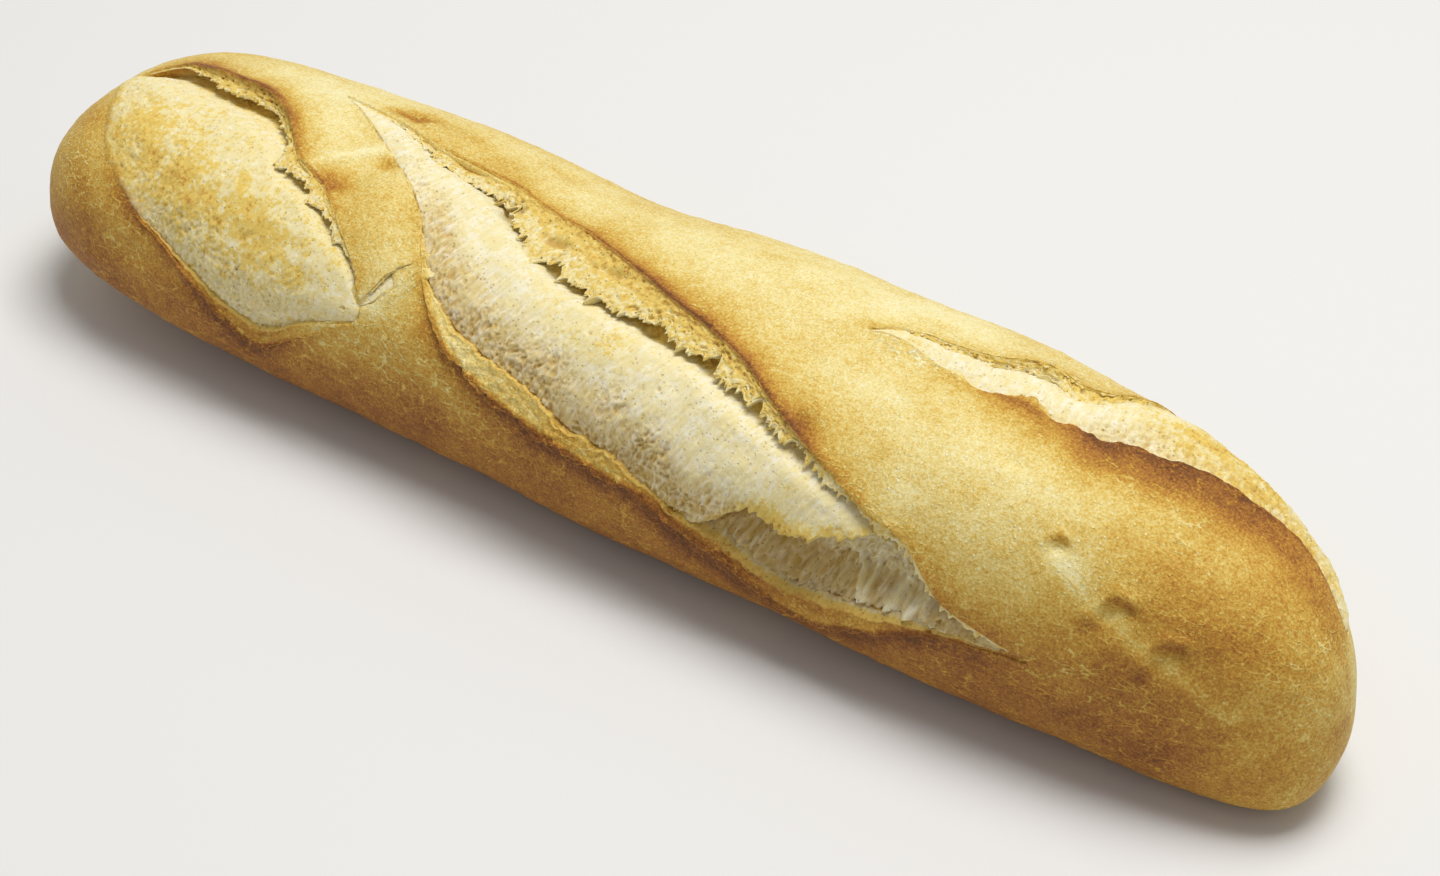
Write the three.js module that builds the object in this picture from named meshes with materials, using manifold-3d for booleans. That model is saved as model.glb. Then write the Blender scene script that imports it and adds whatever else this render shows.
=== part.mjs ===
// A short baguette, baked on a flat tray: one loaf with three slanting cuts that sprang open in the oven.
// Millimetres, +Z up, the loaf lies along X on the plane Z = 0, and its front is towards -Y.
//
// The skin is measured out flat, as a cloth wrapped round the loaf would be: "along" is the distance on X, and
// "girth" the distance round the middle section from the top line, positive towards the front.
import * as THREE from "three";
import { mergeVertices } from "three/addons/utils/BufferGeometryUtils.js";
import Module from "manifold-3d";

// ---------------------------------------------------------------- driving dimensions
const LENGTH = 285;
const HALF_WIDTH = 33;
const HEIGHT = 50.4; // at the middle, before the foot is pressed flat
const WAIST = 0.45; // the widest line, as a share of the height
const FOOT = 1.5; // how much of the round underside the tray pressed flat
const BOW = -6; // sideways curve of the whole loaf
const WIDTH_TAPER = 0.09; // loss of width from the middle to the ends
const TOP_TILT = 0.1; // the right end stands taller than the left
const TOP_SADDLE = 0.22; // the top rises towards both ends before it turns down
const SECTION_ROUND = { top: 2.5, foot: 2.6 }; // superellipse powers, 2 is a true ellipse

// How bluntly each line turns in at the left and right end: the larger, the blunter.
const END = {
  side: { left: 11, right: 3.7 },
  top: { left: 5.1, right: 3.2 },
  foot: { left: 2.3, right: 20 },
};
const END_ROUND = 2.2;

// How far the back and front of this loaf stand out from that plain form, from its left end to its right.
const FLANKS = [
  {
    girth: -27,
    reach: 18,
    out: [0, 0.4, -0.3, -0.1, 0.5, -0.1, -0.9, -0.4, 0.4, 0.1, 0.7, 0.5, 0.5, -0.5, -1.2],
  },
  {
    girth: 66,
    reach: 17,
    out: [0, 0.1, 0.1, 0.1, -0.1, -0.4, -0.1, 0.3, 0.1, -0.6, -0.4, -0.5, -0.4, 0.8, 1.2],
  },
];

// The three cuts. Each runs straight from one point of the skin to another, and opens by these amounts to the
// back and to the front of that line, at even stations from its first tip to its last. The crumb inside
// lies a "drop" below the skin under each lip, and a "crown" above it between them. Lips are lifted, and the
// back one shows a torn "band" that slopes from its edge down to the opening.
const CUTS = [
  {
    name: "left",
    from: { along: -133.5, girth: 5.5 },
    to: { along: -49, girth: 33 },
    back: [13, 11.6, 14.2, 14.4, 16.8, 15.4, 9.7, 8, 6, 3.9, 0],
    front: [-5, 1.5, 10.5, 14.8, 18.3, 19.2, 21.3, 22.3, 21.3, 11.5, 6],
    band: [3, 5, 3.3, 3.6, 1.5, 1, 3.3, 3.1, 2, 0.4, 0],
    drop: { back: [3, 5, 6, 6, 5.5, 5, 4.5, 4.5, 4, 3, 2], front: 1.5 },
    crown: 0.8,
    lift: { back: 1.6, front: 0.6 },
  },
  {
    name: "middle",
    from: { along: -86, girth: -13 },
    to: { along: 95, girth: 46 },
    back: [
      0, 0.8, 1, 0.3, 1.2, 2, -0.3, -1.5, -2, -0.3, 1.2, 2.7, 3.5, 2.7, 2.4, 2.5, 2, 2.5, -1.6, -1.4, 0,
    ],
    front: [
      0, 1.5, 3.3, 6, 9.5, 15, 21, 23.5, 23.5, 22.6, 23.6, 22, 22.3, 22.5, 21.8, 22, 18.5, 13.5, 7.6, 3.5, 0,
    ],
    band: [0, 3, 6.2, 7, 5.8, 5, 7.2, 9, 9.6, 7.8, 6.2, 5.2, 4.3, 4, 2.4, 3.6, 2.6, 0.6, 0.5, 0.4, 0],
    drop: { back: [2, 3.5, 4, 4, 4.5, 4.5, 4.5, 4.5, 4, 4, 3], front: 1.8 },
    crown: 0.9,
    lift: { back: 1.6, front: 1.4 },
  },
  {
    name: "right",
    from: { along: 40, girth: -3 },
    to: { along: 140, girth: -12 },
    back: [
      0, 4.5, 3.3, 2.7, 2.5, 2.8, 6.8, 8.5, 0.8, 4, 12, 20, 25, 28, 30, 30, 29, 27, 24, 18, 10,
    ],
    front: [
      0, -0.8, 0.5, 3.4, 4.7, 7.5, 4.8, 5.5, 8.4, 6, 7.8, 4.7, 5.5, 2.6, 0.2, 0.8, 0.6, -1.8, -2.6, 0, 2.6,
    ],
    band: [0, 0.8, 1, 1, 1.2, 1.5, 2, 2, 3, 3, 1.5, 1, 0.8, 0.5, 0.5, 0.5, 0.5, 0.5, 0.5, 0.3, 0],
    drop: { back: [1, 2, 3.5, 3.5, 2, 1, 0.8, 0.8, 0.8, 0.8, 0.8], front: 1.0 },
    crown: 0.6,
    lift: { back: 0.4, front: 1.0 },
  },
];
const CUT_DEPTH = 9; // floor of the trench that the crumb then fills
const CRUMB_ROOT = 3; // how far the crumb reaches below that floor
const UNDERCUT = 5; // pocket under the torn back lip
const LIP_REACH = { back: 9, front: 5 }; // how far a lip's lift runs out over the crust
const TIP_ROUND = 0.1; // the share of a cut's length that rounds off a blunt tip
const TEAR = 0.9; // raggedness of a torn edge
const CLEAR = 9; // height of the cutting tool above the skin

// Where the crumb tore away under the crust and left a cave, near the right tip of the middle cut.
const CAVE = { cut: "middle", at: 0.85, spread: 0.07, across: 0.4, acrossSpread: 0.45, depth: 5 };

// The tear that joins the left cut to the middle one, under the strap of crust between them.
const CRACK = { from: { along: -51, girth: 33 }, to: { along: -41, girth: 22 }, width: 1.6, depth: 3 };

// Swellings and dents of the crust: place on the skin, half lengths along and round it, and height.
const SWELLS = [
  { along: -68, girth: 8, halfAlong: 6, halfGirth: 9, height: -1.2 },
  { along: -58, girth: 14, halfAlong: 7, halfGirth: 9, height: 1.3 },
  { along: 20, girth: -6, halfAlong: 26, halfGirth: 15, height: 1.2 },
  { along: 72, girth: 18, halfAlong: 24, halfGirth: 15, height: 1.4 },
  { along: -22, girth: -22, halfAlong: 18, halfGirth: 12, height: -1.0 },
  { along: 93, girth: 25, halfAlong: 4, halfGirth: 3.5, height: -1.3 },
  { along: 105, girth: 31, halfAlong: 5, halfGirth: 4, height: -1.6 },
  { along: 117, girth: 35, halfAlong: 6, halfGirth: 4, height: -1.5 },
  { along: 46, girth: -62, halfAlong: 30, halfGirth: 16, height: 1.0 },
  { along: -60, girth: -58, halfAlong: 24, halfGirth: 16, height: -0.9 },
];

// Where the right end is out of round: a place, how far round it the push is felt, and the push.
const PUSHES = [
  { at: [136, -11, 4], reach: 18, by: [2.6, -1.6, 0] },
  { at: [142, 3, 27], reach: 12, by: [-1.1, 0, 0] },
];

// Mesh fineness.
const SKIN_STEPS = { along: 80, girth: 40, closerOnTop: 0.22 };
const CUT_STEPS = 32;
const CRUMB_STEPS_ACROSS = 8;

const CRUST_COLOUR = 0xd6ab52;

// ---------------------------------------------------------------- small curves
const clamp = (value, low, high) => Math.min(Math.max(value, low), high);

// A smooth curve through evenly spaced values, read at a share from 0 to 1 of its length.
function through(values, share) {
  const last = values.length - 1;
  const place = clamp(share, 0, 1) * last;
  const i = Math.min(Math.floor(place), last - 1);
  const f = place - i;
  const [a, b, c, d] = [i - 1, i, i + 1, i + 2].map((k) => values[clamp(k, 0, last)]);
  return b + 0.5 * f * (c - a + f * (2 * a - 5 * b + 4 * c - d + f * (3 * (b - c) + d - a)));
}

// A rise from 0 to 1 as value goes from low to high, level at both ends.
function ramp(value, low, high) {
  const f = clamp((value - low) / (high - low), 0, 1);
  return f * f * (3 - 2 * f);
}

const hump = (distance, reach) => Math.exp(-((distance / reach) ** 2));

// An uneven line between -1 and 1, made of three waves that don't repeat together.
const uneven = (distance, start) =>
  0.5 * Math.sin(0.83 * distance + start) +
  0.3 * Math.sin(1.97 * distance + 2.1 * start) +
  0.2 * Math.sin(3.31 * distance + 3.7 * start);

// ---------------------------------------------------------------- the loaf's skin
// One quarter-turn table of the middle section gives its outline by distance round it.
const SECTION_POINTS = 1440;

function sectionOutline() {
  const outline = [];
  let round = 0;
  for (let i = 0; i <= SECTION_POINTS; i++) {
    const turn = Math.PI / 2 - (2 * Math.PI * i) / SECTION_POINTS;
    const power = 2 / (Math.sin(turn) >= 0 ? SECTION_ROUND.top : SECTION_ROUND.foot);
    const side = Math.sign(Math.cos(turn)) * Math.abs(Math.cos(turn)) ** power;
    const rise = Math.sign(Math.sin(turn)) * Math.abs(Math.sin(turn)) ** power;
    const y = side * HALF_WIDTH;
    const z = rise * HEIGHT * (rise > 0 ? 1 - WAIST : WAIST);
    const before = outline.at(-1);
    if (before) round += Math.hypot(y - before.y, z - before.z);
    outline.push({ round, side, rise, y, z });
  }
  return outline;
}

const OUTLINE = sectionOutline();
const GIRTH = OUTLINE.at(-1).round;

// The section's unit point at a girth: side from -1 at the front to 1 at the back, rise from -1 to 1.
function sectionAt(girth) {
  const round = (((-girth % GIRTH) + GIRTH) % GIRTH);
  let low = 0;
  let high = OUTLINE.length - 1;
  while (high - low > 1) {
    const middle = (low + high) >> 1;
    if (OUTLINE[middle].round > round) high = middle;
    else low = middle;
  }
  const [a, b] = [OUTLINE[low], OUTLINE[high]];
  const f = (round - a.round) / (b.round - a.round);
  return { side: a.side + f * (b.side - a.side), rise: a.rise + f * (b.rise - a.rise) };
}

function turnIn(share, ends) {
  const blunt = share < 0 ? ends.left : ends.right;
  return Math.max(1 - Math.abs(share) ** blunt, 0) ** (1 / END_ROUND);
}

// The bare skin, before it is pressed flat below or lifted at the cuts.
function skin(along, girth) {
  const share = clamp((2 * along) / LENGTH, -1, 1);
  const { side, rise } = sectionAt(girth);
  const waist = WAIST * HEIGHT;
  const width = HALF_WIDTH * (1 - WIDTH_TAPER * share ** 2) * turnIn(share, END.side);
  const crown = HEIGHT * (1 + TOP_TILT * share + TOP_SADDLE * share ** 2) - waist;
  const above = crown * turnIn(share, END.top);
  const below = waist * turnIn(share, END.foot);
  return new THREE.Vector3(
    along,
    width * side + BOW * (share ** 2 - 0.4),
    waist + (rise > 0 ? above : below) * rise - FOOT,
  );
}

const NORMAL_STEP = 0.6;
const TIP_CALM = 7;

function outward(along, girth) {
  const limit = LENGTH / 2 - NORMAL_STEP;
  const x = clamp(along, -limit, limit);
  const length = skin(x + NORMAL_STEP, girth).sub(skin(x - NORMAL_STEP, girth));
  const round = skin(x, girth + NORMAL_STEP).sub(skin(x, girth - NORMAL_STEP));
  return round.cross(length).normalize();
}

// The loaf's own unevenness, which fades out at the very tips.
function swell(along, girth) {
  const share = 0.5 + along / LENGTH;
  let height = 0;
  for (const flank of FLANKS) height += through(flank.out, share) * hump(girth - flank.girth, flank.reach);
  for (const s of SWELLS) {
    const away = Math.hypot((along - s.along) / s.halfAlong, (girth - s.girth) / s.halfGirth);
    height += s.height * hump(away, 1);
  }
  return height * ramp(LENGTH / 2 - Math.abs(along), 0, TIP_CALM);
}

// A point at a height above the uneven skin, or below it when the height is negative.
function off(along, girth, height) {
  const plain = skin(along, girth);
  const point = plain.clone().addScaledVector(outward(along, girth), swell(along, girth) + height);
  for (const push of PUSHES) {
    const distance = plain.distanceTo(new THREE.Vector3(...push.at));
    point.addScaledVector(new THREE.Vector3(...push.by), hump(distance, push.reach));
  }
  return point;
}

// ---------------------------------------------------------------- a cut's own directions
// The cut's line as a run (share of its length) and a side step (positive to the front).
function frameOf(line) {
  const run = new THREE.Vector2(line.to.along - line.from.along, line.to.girth - line.from.girth);
  const length = run.length();
  const ahead = run.clone().divideScalar(length);
  return { length, ahead, across: new THREE.Vector2(-ahead.y, ahead.x) };
}

function placeOn(line, run, step) {
  const { length, ahead, across } = frameOf(line);
  return {
    along: line.from.along + run * length * ahead.x + step * across.x,
    girth: line.from.girth + run * length * ahead.y + step * across.y,
  };
}

function runAndStep(line, along, girth) {
  const { length, ahead, across } = frameOf(line);
  const from = new THREE.Vector2(along - line.from.along, girth - line.from.girth);
  return { run: from.dot(ahead) / length, step: from.dot(across) };
}

function offLine(line, run, step, height) {
  const { along, girth } = placeOn(line, run, step);
  return off(along, girth, height);
}

// ---------------------------------------------------------------- relief of the crust
function lipLift(cut, along, girth) {
  const { run, step } = runAndStep(cut, along, girth);
  if (run <= 0 || run >= 1) return 0;
  const strength = Math.sin(Math.PI * run) ** 0.6;
  const beyondBack = -through(cut.back, run) - through(cut.band, run) - step;
  const beyondFront = step - through(cut.front, run);
  const back = cut.lift.back * hump(Math.max(beyondBack, 0), LIP_REACH.back);
  const front = cut.lift.front * hump(Math.max(beyondFront, 0), LIP_REACH.front);
  return strength * (beyondBack > beyondFront ? back : front);
}

const lips = (along, girth) => CUTS.reduce((height, cut) => height + lipLift(cut, along, girth), 0);

// ---------------------------------------------------------------- closed meshes
// Rings of points, joined one to the next and closed at each end by a point.
function tubeOf(rings, firstTip, lastTip) {
  const count = rings[0].length;
  const points = [firstTip, ...rings.flat(), lastTip];
  const faces = [];
  const at = (ring, i) => 1 + ring * count + (i % count);
  for (let i = 0; i < count; i++) {
    faces.push(0, at(0, i + 1), at(0, i));
    faces.push(points.length - 1, at(rings.length - 1, i), at(rings.length - 1, i + 1));
    for (let ring = 0; ring + 1 < rings.length; ring++) {
      faces.push(at(ring, i), at(ring, i + 1), at(ring + 1, i));
      faces.push(at(ring, i + 1), at(ring + 1, i + 1), at(ring + 1, i));
    }
  }
  const geometry = new THREE.BufferGeometry().setFromPoints(points);
  geometry.setIndex(faces);
  return geometry;
}

const middleOf = (ring) =>
  ring.reduce((sum, p) => sum.add(p), new THREE.Vector3()).divideScalar(ring.length);

function bodyGeometry() {
  const rings = [];
  for (let i = 1; i < SKIN_STEPS.along; i++) {
    const along = -(LENGTH / 2) * Math.cos((Math.PI * i) / SKIN_STEPS.along);
    const ring = [];
    for (let j = 0; j < SKIN_STEPS.girth; j++) {
      const turn = (2 * Math.PI * j) / SKIN_STEPS.girth;
      const girth = (GIRTH * (turn - SKIN_STEPS.closerOnTop * Math.sin(turn))) / (2 * Math.PI);
      const centred = girth > GIRTH / 2 ? girth - GIRTH : girth;
      const point = off(along, centred, lips(along, centred));
      point.z = Math.max(point.z, 0);
      ring.push(point);
    }
    rings.push(ring);
  }
  return tubeOf(rings, off(-LENGTH / 2, 0, 0), off(LENGTH / 2, 0, 0));
}

// ---------------------------------------------------------------- the cuts and their crumb
// How far a cut is open to the back and front of its line. A blunt tip is rounded off about its own middle.
function openings(cut, run) {
  const fromTip = Math.min(Math.min(run, 1 - run) / TIP_ROUND, 1);
  const rounding = Math.sqrt(1 - (1 - fromTip) ** 2);
  const back = through(cut.back, run) + TEAR * uneven(run * 40, cut.from.along);
  const front = through(cut.front, run) + TEAR * uneven(run * 40, cut.to.along);
  const middle = 0.5 * (front - back);
  const half = 0.5 * Math.max(front + back, 0.6) * rounding;
  return { back: half - middle, front: half + middle };
}

function caveDepth(cut, run, share) {
  if (cut.name !== CAVE.cut) return 0;
  return CAVE.depth * hump(run - CAVE.at, CAVE.spread) * hump(share - CAVE.across, CAVE.acrossSpread);
}

// Height of the crumb over the skin, at a share of the way from the back lip to the front one.
function crumbHeight(cut, run, share) {
  const underBack = through(cut.drop.back, run) * (1 - ramp(share, -0.15, 0.42));
  const underFront = cut.drop.front * ramp(share, 0.72, 1.08);
  const crown = cut.crown * Math.sin(Math.PI * clamp(share, 0, 1));
  return crown - underBack - underFront - caveDepth(cut, run, share);
}

// The tool that opens a cut: sloping torn face, pocket behind it, floor, and front wall.
function toolGeometry(cut) {
  const rings = [];
  for (let i = 0; i <= CUT_STEPS; i++) {
    const run = 0.012 + (0.976 * i) / CUT_STEPS;
    const { back, front } = openings(cut, run);
    const fade = Math.sin(Math.PI * run) ** 0.5;
    const width = back + front;
    const deep = Math.min(CUT_DEPTH, 1.5 + 0.8 * width);
    const pocket = UNDERCUT * fade * ramp(width, 2, 12);
    const band = through(cut.band, run);
    const outline = [
      [-back - band - 2, CLEAR],
      [-back - band, 0.4 * cut.lift.back * fade],
      [-back - band / 2, -0.5 * fade],
      [-back, -1.5 * fade],
      [-back - pocket, -2.2 - 0.3 * deep],
      [-back - 0.4 * pocket, -deep],
      [0.5 * (front - back), -deep],
      [front, -0.8 * deep],
      [front + 0.6 * fade, -0.8],
      [front, 0.4 * cut.lift.front * fade],
      [front + 1, CLEAR],
      [0.5 * (front - back), CLEAR],
    ];
    rings.push(outline.map(([step, height]) => offLine(cut, run, step, height)));
  }
  return tubeOf(rings, middleOf(rings[0]), middleOf(rings.at(-1)));
}

function crumbGeometry(cut) {
  const rings = [];
  for (let i = 0; i <= CUT_STEPS; i++) {
    const run = 0.03 + (0.94 * i) / CUT_STEPS;
    const { back, front } = openings(cut, run);
    const fade = Math.sin(Math.PI * run) ** 0.5;
    const low = -back - (UNDERCUT - 1) * fade;
    const high = front + 1.6 * fade;
    const ring = [];
    for (let j = 0; j <= CRUMB_STEPS_ACROSS; j++) {
      const step = low + ((high - low) * j) / CRUMB_STEPS_ACROSS;
      const share = (step + back) / (back + front);
      ring.push(offLine(cut, run, step, crumbHeight(cut, run, share)));
    }
    for (const step of [high, 0.5 * (low + high), low]) {
      ring.push(offLine(cut, run, step, -CUT_DEPTH - CRUMB_ROOT));
    }
    rings.push(ring);
  }
  return tubeOf(rings, middleOf(rings[0]), middleOf(rings.at(-1)));
}

function crackGeometry() {
  const rings = [];
  for (let i = 0; i <= 6; i++) {
    const run = i / 6;
    const half = 0.5 * CRACK.width * (0.35 + 0.65 * Math.sin(Math.PI * (0.1 + 0.8 * run)));
    const outline = [
      [-half, CLEAR],
      [-0.3 * half, -CRACK.depth],
      [half, CLEAR],
    ];
    rings.push(outline.map(([step, height]) => offLine(CRACK, run, step, height)));
  }
  return tubeOf(rings, middleOf(rings[0]), middleOf(rings.at(-1)));
}

// ---------------------------------------------------------------- joining
const wasm = await Module();
wasm.setup();

function solidOf(geometry) {
  const merged = mergeVertices(geometry, 1e-4);
  const faces = new Uint32Array(merged.index.array);
  const asMesh = () =>
    new wasm.Mesh({
      numProp: 3,
      vertProperties: new Float32Array(merged.attributes.position.array),
      triVerts: faces,
    });
  const solid = new wasm.Manifold(asMesh());
  if (solid.volume() > 0) return solid;
  for (let i = 0; i < faces.length; i += 3) [faces[i], faces[i + 1]] = [faces[i + 1], faces[i]];
  return new wasm.Manifold(asMesh());
}

// Only the outer wall is kept, which fills any pocket that the joining has sealed.
const outerWall = (solid) => solid.decompose().sort((a, b) => b.volume() - a.volume())[0];

function geometryOf(solid, shift) {
  const mesh = solid.getMesh();
  const position = new Float32Array(mesh.numVert * 3);
  for (let i = 0; i < mesh.numVert; i++) {
    for (let k = 0; k < 3; k++) {
      position[3 * i + k] = mesh.vertProperties[i * mesh.numProp + k] - shift[k];
    }
  }
  const geometry = new THREE.BufferGeometry();
  geometry.setAttribute("position", new THREE.BufferAttribute(position, 3));
  geometry.setIndex(new THREE.BufferAttribute(new Uint32Array(mesh.triVerts), 1));
  geometry.computeVertexNormals();
  return geometry;
}

function loafSolid() {
  let loaf = solidOf(bodyGeometry());
  for (const cut of CUTS) loaf = loaf.subtract(solidOf(toolGeometry(cut)));
  loaf = loaf.subtract(solidOf(crackGeometry()));
  for (const cut of CUTS) loaf = loaf.add(solidOf(crumbGeometry(cut)));
  return outerWall(loaf);
}

// The origin is under the middle of the loaf, on the surface that it lies on.
function baguette() {
  const solid = loafSolid();
  const { min, max } = solid.boundingBox();
  const shift = [(min[0] + max[0]) / 2, (min[1] + max[1]) / 2, min[2]];
  const crust = new THREE.MeshStandardMaterial({ color: CRUST_COLOUR, roughness: 0.72, metalness: 0 });
  const loaf = new THREE.Mesh(geometryOf(solid, shift), crust);
  loaf.name = "loaf";
  return new THREE.Group().add(loaf);
}

export default baguette();
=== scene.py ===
"""A short baguette: a thin baked crust, slanting cuts torn open in the oven, and the crumb that rose in them.

Sizes are in millimetres until a mesh is made. The loaf's skin is measured out flat, as a cloth wrapped round
it would be: "along" is the distance on X, and "girth" the distance round the middle section from the top
line, positive towards the front.
"""
import logging
import math
from dataclasses import dataclass
from enum import Enum
from functools import cached_property
from typing import Callable

import bpy
import numpy as np
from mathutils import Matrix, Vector


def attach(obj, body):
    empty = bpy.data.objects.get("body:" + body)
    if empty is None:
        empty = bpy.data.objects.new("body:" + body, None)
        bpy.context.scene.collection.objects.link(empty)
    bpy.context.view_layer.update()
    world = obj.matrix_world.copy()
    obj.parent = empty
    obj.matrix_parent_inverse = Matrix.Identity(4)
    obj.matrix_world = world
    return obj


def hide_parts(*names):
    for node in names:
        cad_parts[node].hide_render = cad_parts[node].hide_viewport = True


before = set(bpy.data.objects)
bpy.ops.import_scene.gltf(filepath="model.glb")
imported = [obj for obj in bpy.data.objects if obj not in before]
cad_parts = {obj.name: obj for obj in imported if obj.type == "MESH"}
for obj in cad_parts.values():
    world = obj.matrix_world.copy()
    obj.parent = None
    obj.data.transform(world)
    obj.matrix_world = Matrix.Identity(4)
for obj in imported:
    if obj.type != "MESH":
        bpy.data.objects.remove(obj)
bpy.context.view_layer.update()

logging.basicConfig(level=logging.INFO, format="%(message)s")
log = logging.getLogger("baguette")

MM = 0.001
BODY = "root"
CAD_NODE = "loaf"
SEED = 20
FAR = 99.0  # farther away than anything that is measured
LEAST_OPENING = 0.4

Array = np.ndarray
Numbers = dict[str, Array]
Profile = tuple[float, ...]


# ---------------------------------------------------------------- small curves
def bend(before: Array, start: Array, stop: Array, after: Array, share: Array) -> Array:
    """A smooth curve from start to stop, which takes its slopes from the values before and after them.

    Args:
        before: The value before the start.
        start: The value at a share of 0.
        stop: The value at a share of 1.
        after: The value after the stop.
        share: Shares of the way.

    Returns:
        The curve at the share.
    """
    cubic = 3 * (start - stop) + after - before
    square = 2 * before - 5 * start + 4 * stop - after
    return start + 0.5 * share * (stop - before + share * (square + share * cubic))


def through(values: Profile, share: Array) -> Array:
    """A smooth curve through values that are evenly spaced from a share of 0 to a share of 1.

    Args:
        values: The values.
        share: Shares of the way.

    Returns:
        The curve at the shares.
    """
    table = np.asarray(values, float)
    last = len(table) - 1
    place = np.clip(share, 0, 1) * last
    i = np.minimum(np.floor(place).astype(int), last - 1)
    return bend(*(table[np.clip(i + k, 0, last)] for k in (-1, 0, 1, 2)), place - i)


def ramp(value: Array, low: float | Array, high: float | Array) -> Array:
    """A rise from 0 to 1 as a value goes from low to high, level at both ends."""
    f = np.clip((value - low) / (high - low), 0, 1)
    return f * f * (3 - 2 * f)


def hump(distance: Array, reach: float | Array) -> Array:
    """A bell curve: 1 at no distance, fading out past its reach."""
    return np.exp(-((distance / reach) ** 2))


def power_of(value: Array, power: float | Array) -> Array:
    """A power that keeps the value's sign."""
    return np.sign(value) * np.abs(value) ** power


def beside(x: Array, y: Array, start: tuple[float, float], stop: tuple[float, float]) -> tuple[Array, Array]:
    """How far places are from a straight line, and at which share of it they are.

    Args:
        x: The places' first coordinate.
        y: Their second coordinate.
        start: The line's start.
        stop: The line's end.

    Returns:
        The distances and the shares.
    """
    dx = stop[0] - start[0]
    dy = stop[1] - start[1]
    share = np.clip(((x - start[0]) * dx + (y - start[1]) * dy) / (dx * dx + dy * dy), 0, 1)
    return np.hypot(x - start[0] - share * dx, y - start[1] - share * dy), share


def points_of(*parts: Array | float) -> Array:
    """Points with three coordinates, from such points themselves or from up to three arrays of numbers.

    Args:
        parts: The points, or up to three arrays.

    Returns:
        The points, one to a row.
    """
    if len(parts) == 1 and np.ndim(parts[0]) == 2:
        return parts[0]
    parts = parts + (0.0,) * (3 - len(parts))
    return np.stack(np.broadcast_arrays(*parts), -1).reshape(-1, 3).astype(float)


class Grain:
    """Repeatable noise for uneven dough, read at points or at up to three arrays of numbers."""

    SIZE = 4096
    STRIDES = (73856093, 19349663, 83492791)
    STRENGTH = 1.6
    FINER = 2.03
    SHIFT = 17.3

    def __init__(self, seed: int) -> None:
        """Scatter the noise's own directions and points.

        Args:
            seed: Any whole number; the same one gives the same dough.
        """
        source = np.random.default_rng(seed)
        ways = source.normal(size=(self.SIZE, 3))
        self.ways = ways / np.linalg.norm(ways, axis=1, keepdims=True)
        self.spots = source.random((self.SIZE, 3))

    def _pick(self, cell: Array) -> Array:
        """The table row of each lattice cell."""
        x, y, z = (cell * self.STRIDES).T
        return (x ^ y ^ z) & (self.SIZE - 1)

    def smooth(self, *parts: Array | float) -> Array:
        """Smooth noise, about -1 to 1, with one wave to a unit.

        Args:
            parts: The points, or their coordinates.

        Returns:
            The noise at each point.
        """
        points = points_of(*parts)
        cell = np.floor(points).astype(np.int64)
        inside = points - cell
        fade = inside**3 * (inside * (inside * 6 - 15) + 10)
        total = np.zeros(len(points))
        for corner in np.ndindex(2, 2, 2):
            step = np.array(corner)
            weight = np.prod(np.where(step == 1, fade, 1 - fade), axis=1)
            way = self.ways[self._pick(cell + step)]
            total += weight * np.sum(way * (inside - step), axis=1)
        return total * self.STRENGTH

    def layered(self, *parts: Array | float, layers: int = 3, gain: float = 0.5) -> Array:
        """Smooth noise with finer and weaker layers laid over it."""
        points = points_of(*parts)
        return sum(gain**k * self.smooth(points * self.FINER**k + self.SHIFT * k) for k in range(layers))

    def cells(self, *parts: Array | float) -> tuple[Array, Array]:
        """Distances to the nearest and second nearest of points scattered one to a unit.

        Args:
            parts: The points, or their coordinates.

        Returns:
            Both distances for each point.
        """
        points = points_of(*parts)
        cell = np.floor(points).astype(np.int64)
        nearest = np.full(len(points), FAR)
        second = np.full(len(points), FAR)
        for corner in np.ndindex(3, 3, 3):
            near = cell + np.array(corner) - 1
            away = np.linalg.norm(near + self.spots[self._pick(near)] - points, axis=1)
            second = np.minimum(second, np.maximum(nearest, away))
            nearest = np.minimum(nearest, away)
        return nearest, second


GRAIN = Grain(SEED)


@dataclass(frozen=True)
class Ripple:
    """Unevenness along a line: how strong it is, how long its waves are, and its own place in the noise."""

    amount: float
    length: float
    seed: float = 0.0

    def at(self, way: Array, seed: float) -> Array:
        """How much it gives along a line that has its own seed."""
        return self.amount * GRAIN.smooth(way / self.length, seed + self.seed)


@dataclass(frozen=True)
class Wave:
    """Unevenness over a surface.

    Attributes:
        amount: How strong it is.
        length: How long its waves are.
        width: How wide they are.
        seed: Its own place in the noise.
        layers: How many ever finer layers it has.
        gain: How strong each is beside the one before.
    """

    amount: float
    length: float
    width: float
    seed: float = 0.0
    layers: int = 1
    gain: float = 0.5

    def at(self, way: Array, step: Array, seed: float) -> Array:
        """How much it gives over a surface that has its own seed."""
        places = (way / self.length, step / self.width, seed + self.seed)
        return self.amount * GRAIN.layered(*places, layers=self.layers, gain=self.gain)


@dataclass(frozen=True)
class Cells:
    """Cells scattered over a surface: how long and wide they are, and their own place in the noise."""

    length: float
    width: float
    seed: float = 0.0

    def at(self, way: Array, step: Array, seed: float) -> tuple[Array, Array]:
        """How far the middles of the nearest and the second nearest cell are, in cells."""
        return GRAIN.cells(way / self.length, step / self.width, seed + self.seed)


@dataclass(frozen=True)
class Rise:
    """An amount that comes on smoothly from one distance to another."""

    amount: float
    low: float
    high: float

    def at(self, distance: Array) -> Array:
        """How much it gives at a distance."""
        return self.amount * ramp(distance, self.low, self.high)


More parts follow.
